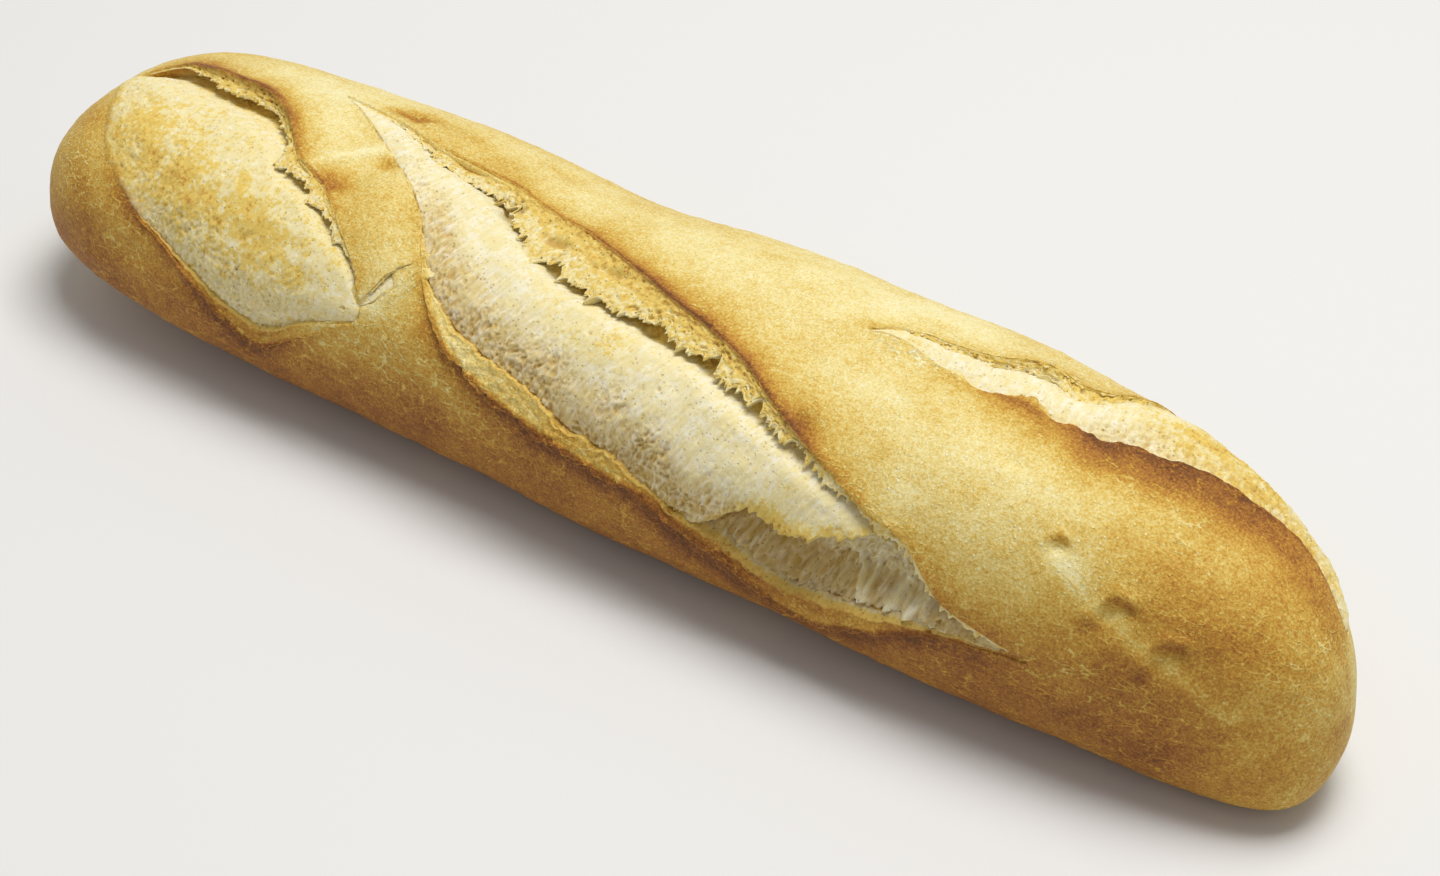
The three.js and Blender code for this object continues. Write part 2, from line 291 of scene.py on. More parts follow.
# ---------------------------------------------------------------- marks on the skin
@dataclass(frozen=True)
class Patch:
    """An oval place on the skin, and how much of something it has."""

    along: float
    girth: float
    half_along: float
    half_girth: float
    amount: float

    def at(self, along: Array, girth: Array) -> Array:
        """How much it adds at places on the skin."""
        away = np.hypot((along - self.along) / self.half_along, (girth - self.girth) / self.half_girth)
        return self.amount * hump(away, 1.0)


@dataclass(frozen=True)
class Crease:
    """A line on the skin, straight from point to point, and how much of something it has."""

    points: tuple[tuple[float, float], ...]
    half_width: float
    amount: float

    def at(self, along: Array, girth: Array) -> Array:
        """How much it adds at places on the skin.

        Args:
            along: Distances along the loaf.
            girth: Distances round it.

        Returns:
            What it adds at each place.
        """
        nearest = np.full(np.shape(along), FAR)
        for start, stop in zip(self.points, self.points[1:]):
            nearest = np.minimum(nearest, beside(along, girth, start, stop)[0])
        return self.amount * hump(nearest, self.half_width)


def total(marks: tuple[Patch | Crease, ...], along: Array, girth: Array) -> Array:
    """All that some marks add at places on the skin."""
    return sum(mark.at(along, girth) for mark in marks)


# ---------------------------------------------------------------- the loaf's skin
@dataclass(frozen=True)
class Ends:
    """How bluntly a line turns in at each end of the loaf: the larger, the blunter."""

    left: float
    right: float


@dataclass(frozen=True)
class Flank:
    """How far one face of the loaf stands out from the plain form, from its left end to its right."""

    girth: float
    reach: float
    out: Profile


@dataclass(frozen=True)
class Push:
    """A place where an end is out of round."""

    at: tuple[float, float, float]
    reach: float
    by: tuple[float, float, float]


@dataclass(frozen=True)
class Skin:
    """The outside of the loaf before it tore open."""

    length: float = 285.0
    half_width: float = 33.0
    height: float = 50.4
    waist: float = 0.45
    foot: float = 1.5
    bow: float = -6.0
    bow_middle: float = 0.4
    width_taper: float = 0.09
    top_tilt: float = 0.1
    top_saddle: float = 0.22
    round_top: float = 2.5
    round_foot: float = 2.6
    side_ends: Ends = Ends(11.0, 3.7)
    top_ends: Ends = Ends(5.1, 3.2)
    foot_ends: Ends = Ends(2.3, 20.0)
    end_round: float = 2.2
    tip_calm: float = 7.0
    outline_points: int = 2881
    centre: tuple[float, float, float] = (0.37, 1.743, 0.0)
    flanks: tuple[Flank, ...] = (
        Flank(-27, 18, (0, 0.4, -0.3, -0.1, 0.5, -0.1, -0.9, -0.4, 0.4, 0.1, 0.7, 0.5, 0.5, -0.5, -1.2)),
        Flank(66, 17, (0, 0.1, 0.1, 0.1, -0.1, -0.4, -0.1, 0.3, 0.1, -0.6, -0.4, -0.5, -0.4, 0.8, 1.2)),
    )
    swellings: tuple[Patch, ...] = (
        Patch(-68, 8, 6, 9, -1.2),
        Patch(-58, 14, 7, 9, 1.3),
        Patch(20, -6, 26, 15, 1.2),
        Patch(72, 18, 24, 15, 1.4),
        Patch(-22, -22, 18, 12, -1.0),
        Patch(94, 25, 4, 3.5, -0.4),
        Patch(106.5, 32, 5, 4, -0.6),
        Patch(117, 36, 6, 4, -0.6),
        Patch(46, -62, 30, 16, 1.0),
        Patch(-60, -58, 24, 16, -0.9),
    )
    pushes: tuple[Push, ...] = (
        Push((136, -11, 4), 18, (2.6, -1.6, 0)),
        Push((142, 3, 27), 12, (-1.1, 0, 0)),
    )

    @cached_property
    def outline(self) -> tuple[Array, Array, Array]:
        """The middle section's outline: the distance round it, its place to the side, and its rise.

        Returns:
            Those three, from the top round to the top again.
        """
        turn = np.pi / 2 - np.linspace(0, 2 * np.pi, self.outline_points)
        power = 2 / np.where(np.sin(turn) >= 0, self.round_top, self.round_foot)
        side = power_of(np.cos(turn), power)
        rise = power_of(np.sin(turn), power)
        tall = rise * self.height * np.where(rise > 0, 1 - self.waist, self.waist)
        steps = np.hypot(np.diff(side * self.half_width), np.diff(tall))
        return np.r_[0, np.cumsum(steps)], side, rise

    @cached_property
    def girth(self) -> float:
        """The distance all round the middle section."""
        return float(self.outline[0][-1])

    def _turn_in(self, share: Array, ends: Ends) -> Array:
        """How much of a line is left at a share of the way from the middle to an end."""
        blunt = np.where(share < 0, ends.left, ends.right)
        return np.maximum(1 - np.abs(share) ** blunt, 0) ** (1 / self.end_round)

    def _half_sizes(self, share: Array) -> tuple[Array, Array, Array]:
        """Half width, rise above the waist and drop below it.

        Args:
            share: Places from the left end, -1, to the right end, 1.

        Returns:
            The three sizes at each place.
        """
        width = self.half_width * (1 - self.width_taper * share**2) * self._turn_in(share, self.side_ends)
        waist = self.waist * self.height
        crown = self.height * (1 + self.top_tilt * share + self.top_saddle * share**2) - waist
        crown = crown * self._turn_in(share, self.top_ends)
        return width, crown, waist * self._turn_in(share, self.foot_ends)

    def _bowed(self, share: Array) -> Array:
        """How far to the side the loaf's bow takes its middle line."""
        return self.bow * (share**2 - self.bow_middle)

    def plain(self, along: Array, girth: Array) -> Array:
        """Points of the plain form, not yet flattened by the tray.

        Args:
            along: Distances along the loaf.
            girth: Distances round it.

        Returns:
            The points, with the skin not yet uneven.
        """
        share = np.clip(2 * along / self.length, -1, 1)
        round_table, side_table, rise_table = self.outline
        round_ = np.mod(-girth, self.girth)
        side = np.interp(round_, round_table, side_table)
        rise = np.interp(round_, round_table, rise_table)
        width, above, below = self._half_sizes(share)
        y = width * side + self._bowed(share)
        z = self.waist * self.height + np.where(rise > 0, above, below) * rise - self.foot
        return np.stack(np.broadcast_arrays(np.asarray(along, float), y, z), -1)

    def outward(self, along: Array, girth: Array, step: float = 0.6) -> Array:
        """The skin's own outward directions.

        Args:
            along: Distances along the loaf.
            girth: Distances round it.
            step: How far apart the skin is measured.

        Returns:
            Unit vectors.
        """
        limit = self.length / 2 - step
        x = np.clip(along, -limit, limit)
        length = self.plain(x + step, girth) - self.plain(x - step, girth)
        round_ = self.plain(x, girth + step) - self.plain(x, girth - step)
        way = np.cross(round_, length)
        return way / (np.linalg.norm(way, axis=-1, keepdims=True) + 1e-12)

    def calm(self, along: Array) -> Array:
        """How much of its unevenness the loaf has: all of it, but for its very tips."""
        return ramp(self.length / 2 - np.abs(along), 0, self.tip_calm)

    def swell(self, along: Array, girth: Array) -> Array:
        """The loaf's own large unevenness.

        Args:
            along: Distances along the loaf.
            girth: Distances round it.

        Returns:
            Heights over the plain form.
        """
        share = 0.5 + along / self.length
        height = 0.0 * girth
        for flank in self.flanks:
            height = height + through(flank.out, share) * hump(girth - flank.girth, flank.reach)
        return (height + total(self.swellings, along, girth)) * self.calm(along)

    def off(self, along: Array, girth: Array, height: Array | float) -> Array:
        """Points at a height above the uneven skin, or below it when the height is negative.

        Args:
            along: Distances along the loaf.
            girth: Distances round it.
            height: Heights over the skin.

        Returns:
            The points, in millimetres.
        """
        along, girth, height = (part + 0.0 for part in np.broadcast_arrays(along, girth, height))
        plain = self.plain(along, girth)
        lift = (self.swell(along, girth) + height)[..., None]
        point = plain + self.outward(along, girth) * lift
        for push in self.pushes:
            away = np.linalg.norm(plain - np.array(push.at), axis=-1)[..., None]
            point = point + np.array(push.by) * hump(away, push.reach)
        return point - np.array(self.centre)

    def unwrap(self, points: Array) -> tuple[Array, Array]:
        """Where on the skin points of the loaf lie: the distance along and the girth of each.

        Args:
            points: The points.

        Returns:
            Distances along the loaf and round it.
        """
        x, y, z = (points + np.array(self.centre)).T
        share = np.clip(2 * x / self.length, -0.999, 0.999)
        width, above, below = self._half_sizes(share)
        side = (y - self._bowed(share)) / width
        tall = z + self.foot - self.waist * self.height
        rise = tall / np.where(tall > 0, above, below)
        power = np.where(rise > 0, self.round_top, self.round_foot) / 2
        clock = np.mod(np.pi / 2 - np.arctan2(power_of(rise, power), power_of(side, power)), 2 * np.pi)
        round_table = self.outline[0]
        girth = -np.interp(clock, np.linspace(0, 2 * np.pi, len(round_table)), round_table)
        return x, np.where(girth < -self.girth / 2, girth + self.girth, girth)


SKIN = Skin()


# ---------------------------------------------------------------- the cuts
class CutName(Enum):
    """The three cuts from the left end to the right, and the split between the first two."""

    LEFT = "left"
    MIDDLE = "middle"
    RIGHT = "right"
    SPLIT = "split"


class Side(Enum):
    """The two sides of a cut."""

    BACK = 0
    FRONT = 1


NOTCHES = (Ripple(1.5, 7.0), Ripple(1.2, 2.6, 9))
TATTERS = (Ripple(1.0, 0.95, 21), Ripple(0.3, 4))
TATTER_REACH = (3.0, 1.1)  # of the back and of the front torn edge
DRAWN_BACK = 0.4


@dataclass(frozen=True)
class Tongue:
    """A place where a torn edge reaches over the opening, or draws back when its reach is negative."""

    run: float
    half: float
    reach: float
    side: Side = Side.BACK


@dataclass(frozen=True)
class Cut:
    """A cut, which opened to the back and the front of a straight line on the skin.

    Each profile is read at even stations from the first tip to the last.

    Attributes:
        start: Where its line begins on the skin, along and round.
        stop: Where it ends.
        back: How far it opened to the back.
        front: How far it opened to the front.
        band: Width of the torn band, from the crest of the back lip to its ragged edge.
        crest: Height of the crest.
        edge: How far the ragged edge lies below the skin.
        undercut: How far the torn band recedes under the crest.
        flange: Width of the front lip's flared rim.
        rim: Height of the front lip's outer edge.
        overhang: How far that edge is undercut, from 0 to 1.
        drop: Depth of the crumb under the back lip.
        rise: How far from the back lip the crumb has come up again.
        dip: Depth of the crumb at the front lip.
        overlap: How far the crumb runs out over the crust in front.
        crest_bake: How much browner the back lip is.
        rim_bake: How much browner the front lip is.
        rim_reach: How far that brown reaches.
        crown: How high the crumb rises in its middle.
        seed: Where in the noise the cut's own unevenness is read.
        toasted: How golden the crumb is all over.
        back_merge: How far out the back lip sinks into the crust round it.
        front_merge: The same of the front lip.
        ragged: How ragged the back lip's and the front lip's torn edges are.
        open_front: Up to which run the crumb turns into crust without a front lip.
        tongues: The places where its torn edges reach over it.
        tip_round: The share of the length over which each tip rounds off.
        cells: How open the crumb's cells are towards the front.
        fray: Where the back lip frays, from 0 at its torn edge to 1 at its crest.
    """

    name: CutName
    start: tuple[float, float]
    stop: tuple[float, float]
    back: Profile
    front: Profile
    band: Profile
    crest: Profile
    edge: Profile
    rim: Profile
    drop: Profile
    rise: Profile
    dip: Profile
    crest_bake: Profile
    rim_bake: Profile
    rim_reach: float
    crown: float
    seed: float
    undercut: Profile = (0.0, 0.0)
    flange: Profile = (0.0, 0.0)
    overhang: Profile = (0.0, 0.0)
    overlap: Profile = (0.0, 0.0)
    toasted: float = 0.1
    back_merge: Profile = (11.0, 11.0)
    front_merge: Profile = (8.0, 8.0)
    ragged: tuple[float, float] = (0.9, 0.6)
    open_front: float = 0.0
    tongues: tuple[Tongue, ...] = ()
    tip_round: float = 0.1
    cells: float = 1.0
    fray: float = 0.0

    @property
    def length(self) -> float:
        """The length of the cut's line."""
        return math.dist(self.start, self.stop)

    @property
    def ahead(self) -> tuple[float, float]:
        """The direction of the cut's line."""
        return (self.stop[0] - self.start[0]) / self.length, (self.stop[1] - self.start[1]) / self.length

    def place(self, run: Array, step: Array) -> tuple[Array, Array]:
        """The place on the skin at a share of the cut's length and a step to its front.

        Args:
            run: Shares of the cut's length.
            step: Steps to the front of the cut's line.

        Returns:
            Distances along the loaf and round it.
        """
        dx, dy = self.ahead
        along = self.start[0] + run * self.length * dx - step * dy
        girth = self.start[1] + run * self.length * dy + step * dx
        return along, girth

    def run_and_step(self, along: Array, girth: Array) -> tuple[Array, Array]:
        """The share of the cut's length and the step to its front of places on the skin.

        Args:
            along: Distances along the loaf.
            girth: Distances round it.

        Returns:
            The runs and the steps.
        """
        dx, dy = self.ahead
        x = along - self.start[0]
        y = girth - self.start[1]
        return (x * dx + y * dy) / self.length, y * dx - x * dy

    def off(self, run: Array, step: Array, height: Array | float) -> Array:
        """Points over the skin at a run, a step and a height."""
        return SKIN.off(*self.place(run, step), height)

    def piece(self, kind: str) -> str:
        """The name of one of the cut's pieces."""
        return f"{kind}_{self.name.value}"

    def openings(self, run: Array) -> tuple[Array, Array]:
        """How far the cut is open to the back and the front of its line at shares of its length.

        Args:
            run: Shares of the cut's length.

        Returns:
            The two distances.
        """
        from_tip = np.clip(np.minimum(run, 1 - run) / self.tip_round, 0, 1)
        rounding = np.sqrt(1 - (1 - from_tip) ** 2)
        back = through(self.back, run)
        front = through(self.front, run)
        middle = 0.5 * (front - back)
        half = 0.5 * np.maximum(front + back, LEAST_OPENING) * rounding
        return half - middle, half + middle

    def tear(self, run: Array, side: Side) -> Array:
        """How far a torn edge reaches over the opening: notches, small tatters, and the cut's tongues.

        Args:
            run: Shares of the cut's length.
            side: Which edge.

        Returns:
            The reach at each share.
        """
        way = run * self.length
        seed = self.seed + 40 * side.value
        notches = sum(ripple.at(way, seed) for ripple in NOTCHES)
        tatters = np.maximum(sum(ripple.at(way, seed) for ripple in TATTERS), 0)
        reach = self.ragged[side.value] * (notches + TATTER_REACH[side.value] * tatters - DRAWN_BACK)
        for tongue in self.tongues:
            if tongue.side is side:
                reach = reach + tongue.reach * hump((run - tongue.run) * self.length, tongue.half)
        return reach


CUTS = (
    Cut(
        name=CutName.LEFT,
        start=(-133.5, 5.5),
        stop=(-49, 33),
        back=(12.5, 15.6, 14.8, 15.2, 16.9, 14.8, 9.4, 8, 6, 3.9, 0),
        front=(-5, 1.5, 10.5, 14.8, 18.3, 19.2, 21.3, 22.3, 21.3, 11.5, 6),
        band=(0.5, 0.6, 1.8, 2.4, 1.7, 1.3, 2.6, 3, 2, 0.6, 0),
        crest=(0.3, 1.6, 2.2, 2.5, 2.4, 1.7, 0.7, 0.5, 0.4, 0.3, 0),
        edge=(0.2, -0.5, -0.5, -0.1, 0.2, 0.3, 0, 0, 0.1, 0.2, 0),
        flange=(0, 0, 0, 0, 0, 0, 0.8, 2.4, 3.8, 3, 0.4),
        rim=(0, 0, 0, 0.1, 0.3, 0.5, 0.8, 1, 1.2, 0.8, 0),
        overhang=(0, 0, 0, 0, 0.4, 0.7, 1, 1, 1, 0.7, 0),
        drop=(1.4, 2.2, 2.4, 2.5, 2.6, 2.5, 2.2, 2.1, 2, 1.6, 1),
        rise=(6, 12, 12, 10, 9, 6, 5, 4, 4, 3, 1),
        dip=(0, 0, 0, 0.1, 0.3, 0.4, 0.5, 0.7, 0.9, 0.8, 0.4),
        overlap=(6, 6, 5, 4, 2, 0.5, 0, 0, 0, 0, 0),
        crest_bake=(0.25, 0.44, 0.48, 0.48, 0.46, 0.4, 0.2, 0.1, 0.1, 0.1, 0.1),
        rim_bake=(0.05, 0.1, 0.12, 0.2, 0.24, 0.26, 0.3, 0.34, 0.3, 0.16, 0.1),
        rim_reach=3.5,
        crown=0.8,
        seed=3,
        toasted=0.30,
        cells=0.34,
        open_front=0.36,
        ragged=(0.6, 0.35),
        tongues=(
            Tongue(0.585, 2, 3), Tongue(0.66, 1, -1.4), Tongue(0.715, 2, 1.2),
            Tongue(0.80, 1.2, -1.2), Tongue(0.835, 1.2, 1.2), Tongue(0.90, 1.5, -1.2),
        ),
    ),
    Cut(
        name=CutName.MIDDLE,
        start=(-86, -13),
        stop=(95, 46),
        back=(
            0, 0.8, 1, 0.3, 1.2, 2, -0.3, -1.5, -2, -0.3, 1.2, 2.7, 3.5, 2.7, 2.4, 2.5, 2, 2.5, -1.6, -1.4, 0,
        ),
        front=(
            0, 2, 4.3, 7, 10, 15, 21, 23.5, 23.5, 22.6, 23.6,
            22, 22.3, 22.5, 21.8, 22, 18.5, 13.5, 7.6, 3.5, 0,
        ),
        band=(0, 1, 1.8, 2.6, 3.4, 4.6, 7, 9, 9.6, 7.8, 6.2, 5.2, 4.3, 3.4, 2.2, 1.5, 1.1, 1.1, 1.1, 1, 0),
        crest=(
            0, 0.2, 0.3, 0.4, 0.5, 0.6, 0.8, 1.2, 1.5, 1.5, 1.4, 1.3, 1.1, 1, 0.9, 0.8, 0.8, 0.7, 0.4, 0.2, 0,
        ),
        edge=(
            0, 0.5, 0.9, 1.2, 1.2, 0.8, 0.5, 0.4, 0.4, 0.3, 0.3,
            0.3, 0.3, 0.3, 0.2, 0.2, 0.2, 0.1, 0.1, 0.1, 0,
        ),
        undercut=(0, 0, 0.1, 0.1, 0.1, 0.1, 0.1, 0.1, 0.1, 0.1, 0),
        flange=(0, 0, 0, 0, 0, 0, 0.8, 3, 4.5, 5.3, 3.5, 3.8, 1.5, 1.5, 1.8, 3, 5, 3.5, 1.2, 0.4, 0),
        rim=(0, 0, 0, 0.1, 0.2, 0.4, 0.9, 1.2, 1.4, 1.5, 1.4, 1.3, 1.2, 1.2, 1.3, 1.5, 2.2, 1.6, 0.7, 0.3, 0),
        overhang=(0, 0, 0, 0, 0, 0.2, 0.8, 1, 1, 1, 1, 1, 1, 1, 1, 1, 1, 0.8, 0.3, 0, 0),
        drop=(0.6, 1.4, 2, 2.6, 2.9, 3, 3, 2.6, 2.2, 3.2, 1.6),
        rise=(1, 2, 3, 4, 4.6, 5, 5, 4.6, 3.6, 2.8, 1.5),
        dip=(0.1, 0.1, 0.2, 0.3, 0.4, 0.5, 0.5, 0.5, 0.6, 0.6, 0.4),
        crest_bake=(0, 0.02, 0.06, 0.16, 0.2, 0.26, 0.36, 0.42, 0.42, 0.36, 0.3, 0.2, 0.14, 0.1, 0.08),
        rim_bake=(0.03, 0.03, 0.03, 0.06, 0.2, 0.4, 0.45, 0.42, 0.45, 0.45, 0.45, 0.45, 0.4, 0.2, 0.1),
        rim_reach=4.5,
        crown=0.9,
        seed=7,
        toasted=0.08,
        cells=0.85,
        ragged=(1, 0.6),
        tongues=(
            Tongue(0.34, 3.2, 4), Tongue(0.455, 2, 1.6), Tongue(0.20, 1.5, 1.2),
            Tongue(0.272, 1, -2), Tongue(0.372, 1.2, -2.4), Tongue(0.505, 2.4, -2.2),
            Tongue(0.578, 1, -1.8), Tongue(0.649, 1.3, -1.8), Tongue(0.711, 1.2, -1.6),
        ),
    ),
    Cut(
        name=CutName.RIGHT,
        start=(40, -3),
        stop=(140, -12),
        back=(0, 2.2, 2.6, 2.4, 2.4, 3.2, 5.2, 5.8, 3.4, 5, 12, 20, 25, 28, 30, 30, 29, 27, 24, 18, 10),
        front=(
            0, -0.6, 0.6, 2.8, 4.6, 5.9, 5.4, 5.9, 7.4, 6.9, 7,
            5.4, 4.7, 2.8, 1, 0.2, -0.7, -2.6, -3, -0.8, 2,
        ),
        band=(
            0, 1.1, 1.4, 1.4, 1.3, 1.4, 1.6, 1.7, 2, 1.6, 1.1, 0.8, 0.7, 0.5, 0.5, 0.5, 0.5, 0.5, 0.5, 0.3, 0,
        ),
        crest=(
            0, 0.3, 0.4, 0.4, 0.5, 0.6, 0.8, 0.8, 0.9, 0.8, 0.4,
            0.2, 0.1, 0.1, 0.1, 0.1, 0.1, 0.1, 0.1, 0.1, 0,
        ),
        edge=(
            0, 1, 1.3, 1.4, 1.4, 1.5, 1.4, 1.3, 1.1, 1.1, 0.9, 0.6, 0.4, 0.3, 0.3, 0.3, 0.3, 0.3, 0.3, 0.2, 0,
        ),
        rim=(0, 0, 0.1, 0.2, 0.3, 0.4, 0.5, 0.6, 0.7, 0.9, 1.1, 1.2, 1.2, 1.2, 1.1, 1.1, 1, 0.8, 0.6, 0.4, 0),
        drop=(0.4, 0.9, 1.2, 1.5, 1.4, 0.9, 0.5, 0.3, 0.3, 0.3, 0.3),
        rise=(1, 2, 3, 4, 4, 3, 3, 3, 3, 3, 2),
        dip=(0.2, 0.3, 0.4, 0.5, 0.6, 0.7, 0.8, 0.8, 0.8, 0.7, 0.4),
        crest_bake=(0.08, 0.12, 0.1, 0.1, 0.15, 0.15, 0.08, 0.03, 0.03, 0.03, 0.03),
        rim_bake=(0, 0.06, 0.16, 0.28, 0.40, 0.48, 0.46, 0.42, 0.36, 0.30, 0.26),
        rim_reach=8,
        crown=0.8,
        seed=11,
        toasted=0.05,
        cells=0.5,
        fray=0.9,
        ragged=(0.7, 0.3),
        tongues=(
            Tongue(0.42, 3, 2), Tongue(0.25, 2, -1.2), Tongue(0.15, 1.2, 1),
            Tongue(0.33, 1, -1), Tongue(0.50, 1.2, 1.2), Tongue(0.35, 3.6, 3.6, Side.FRONT),
            Tongue(0.20, 2, 1.6, Side.FRONT), Tongue(0.27, 1, -0.9, Side.FRONT),
            Tongue(0.44, 1.2, 1.3, Side.FRONT), Tongue(0.49, 1, -0.8, Side.FRONT),
            Tongue(0.56, 1.4, 0.9, Side.FRONT),
        ),
    ),
    Cut(
        name=CutName.SPLIT,
        start=(-51.5, 34),
        stop=(-40.6, 19.2),
        back=(0, 0.2, 0.3, 0.5, 1, 1.4, 1.2, 0.8, 0.6, 0.6, 0.4),
        front=(0, 0.7, 1.1, 1, 0.9, 1, 1, 0.9, 0.9, 1.2, 1.2),
        band=(0.2, 0.3, 0.3, 0.3, 0.2),
        crest=(0.1, 0.4, 0.6, 0.6, 0.5),
        edge=(0, -0.1, -0.2, -0.2, -0.1),
        rim=(0, 0, 0.1, 0.3, 0.7, 0.8, 0.2),
        drop=(0.8, 1.6, 2.2, 2.4, 2),
        rise=(1, 1.5, 2, 2, 2),
        dip=(0.2, 0.5, 0.8, 0.8, 0.5),
        crest_bake=(0, 0.04),
        rim_bake=(0, -0.06, -0.05),
        rim_reach=2.5,
        crown=0.1,
        seed=17,
        back_merge=(1.5, 2.5, 4, 5, 3),
        front_merge=(3, 3, 3, 2.4, 1.2),
        ragged=(0.3, 0.3),
    ),
)


# ---------------------------------------------------------------- mesh making
Former = Callable[[Array, Array], tuple[Array, Numbers]]
AT_TIP = 1e-6
MERGE = 2e-6


def deselect_all() -> None:
    """Leave object mode with nothing selected."""
    if bpy.context.object and bpy.context.object.mode != "OBJECT":
        bpy.ops.object.mode_set(mode="OBJECT")
    bpy.ops.object.select_all(action="DESELECT")


def corners_of(piece: bpy.types.Object) -> Array:
    """The places of a piece's vertices, in metres.

    Args:
        piece: The piece.

    Returns:
        The places, one to a row.
    """
    co = np.empty(len(piece.data.vertices) * 3, np.float32)
    piece.data.vertices.foreach_get("co", co)
    return co.reshape(-1, 3).astype(float)


def store(piece: bpy.types.Object, numbers: Numbers) -> None:
    """Keep named numbers for each vertex of a piece, for its material to read.

    Args:
        piece: The piece.
        numbers: The numbers, by their names.
    """
    for name, values in numbers.items():
        layer = piece.data.attributes.new(name, "FLOAT", "POINT")
        layer.data.foreach_set("value", values.astype(np.float32))


def formed_sheet(name: str, across: int, down: int, former: Former) -> bpy.types.Object:
    """Add a flat grid, bend it to its form, and close its seams, tips and poles.

    Args:
        name: The piece's name.
        across: Faces along the grid's first direction.
        down: Faces along its second direction.
        former: Takes the grid's two coordinates, each from 0 to 1, and gives each corner's place in
            millimetres and the named numbers that the material reads.

    Returns:
        The closed piece, smooth shaded, with its faces outwards.
    """
    deselect_all()
    bpy.ops.mesh.primitive_grid_add(x_subdivisions=across, y_subdivisions=down, size=2)
    piece = bpy.context.object
    piece.name = name
    piece.data.name = name
    u, v, _ = ((corners_of(piece) + 1) / 2).T
    places, numbers = former(u, v)
    piece.data.vertices.foreach_set("co", (places * MM).astype(np.float32).ravel())
    piece.data.update()
    for layer in list(piece.data.uv_layers):
        piece.data.uv_layers.remove(layer)
    store(piece, numbers)
    bpy.ops.object.mode_set(mode="EDIT")
    bpy.ops.mesh.select_all(action="SELECT")
    bpy.ops.mesh.remove_doubles(threshold=MERGE)
    bpy.ops.mesh.normals_make_consistent(inside=False)
    bpy.ops.object.mode_set(mode="OBJECT")
    bpy.ops.object.shade_smooth()
    return piece


def run_of(u: Array, gap: float = 0.004) -> Array:
    """The run at a sheet's coordinate: from one tip to the other, but for a small gap at each."""
    return gap + (1 - 2 * gap) * u


def close_tips(places: Array, u: Array) -> None:
    """Draw the first and the last row of a sheet's places together into points."""
    for tip in (u < AT_TIP, u > 1 - AT_TIP):
        places[tip] = places[tip].mean(axis=0)


def section(v: Array, knots: tuple[tuple[float, Array | float, Array | float], ...]) -> tuple[Array, Array]:
    """Read a ribbon's cross section.

    Args:
        v: How far round the section, from 0 to 1.
        knots: Its corners in order: how far round, the distance out, and the height. It ends where it begins.

    Returns:
        The distance out and the height at each place.
    """
    rows = np.arange(len(v))
    last = len(knots) - 1
    place = np.interp(v, [knot[0] for knot in knots], np.arange(len(knots)))
    i = np.minimum(np.floor(place).astype(int), last - 1)
    read = []
    for part in (1, 2):
        table = np.stack([knot[part] + 0 * v for knot in knots])
        read.append(bend(*(table[np.clip(i + k, 0, last), rows] for k in (-1, 0, 1, 2)), place - i))
    return read[0], read[1]


def straight_loop(v: Array, corners: tuple[Array | float, ...]) -> Array:
    """Read a closed loop of straight stretches, with its corners at even shares of the way round.

    Args:
        v: How far round the loop, from 0 to 1.
        corners: Its corners' values.

    Returns:
        The values there.
    """
    count = len(corners)
    rows = np.arange(len(v))
    table = np.stack([corner + 0 * v for corner in corners])
    place = v * count % count
    i = np.floor(place).astype(int)
    f = place - i
    return (1 - f) * table[i, rows] + f * table[(i + 1) % count, rows]


def carve(piece: bpy.types.Object, tool: bpy.types.Object) -> None:
    """Cut one piece with another, which is then thrown away.

    Args:
        piece: The piece that stays.
        tool: The closed piece that is cut away.
    """
    deselect_all()
    piece.select_set(True)
    bpy.context.view_layer.objects.active = piece
    cutter = piece.modifiers.new("carve", "BOOLEAN")
    cutter.operation = "DIFFERENCE"
    cutter.solver = "MANIFOLD"
    cutter.object = tool
    bpy.ops.object.modifier_apply(modifier=cutter.name)
    bpy.data.objects.remove(tool)


def keep(piece: bpy.types.Object, material: bpy.types.Material) -> None:
    """Dress a finished piece and tie it to the frame.

    Args:
        piece: The piece.
        material: Its material.
    """
    piece.data.materials.clear()
    piece.data.materials.append(material)
    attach(piece, BODY)
    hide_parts(CAD_NODE)
    faces = len(piece.data.polygons)
    tall = corners_of(piece)[:, 2] / MM
    log.info("%s: %d faces, %.1f to %.1f mm high", piece.name, faces, tall.min(), tall.max())


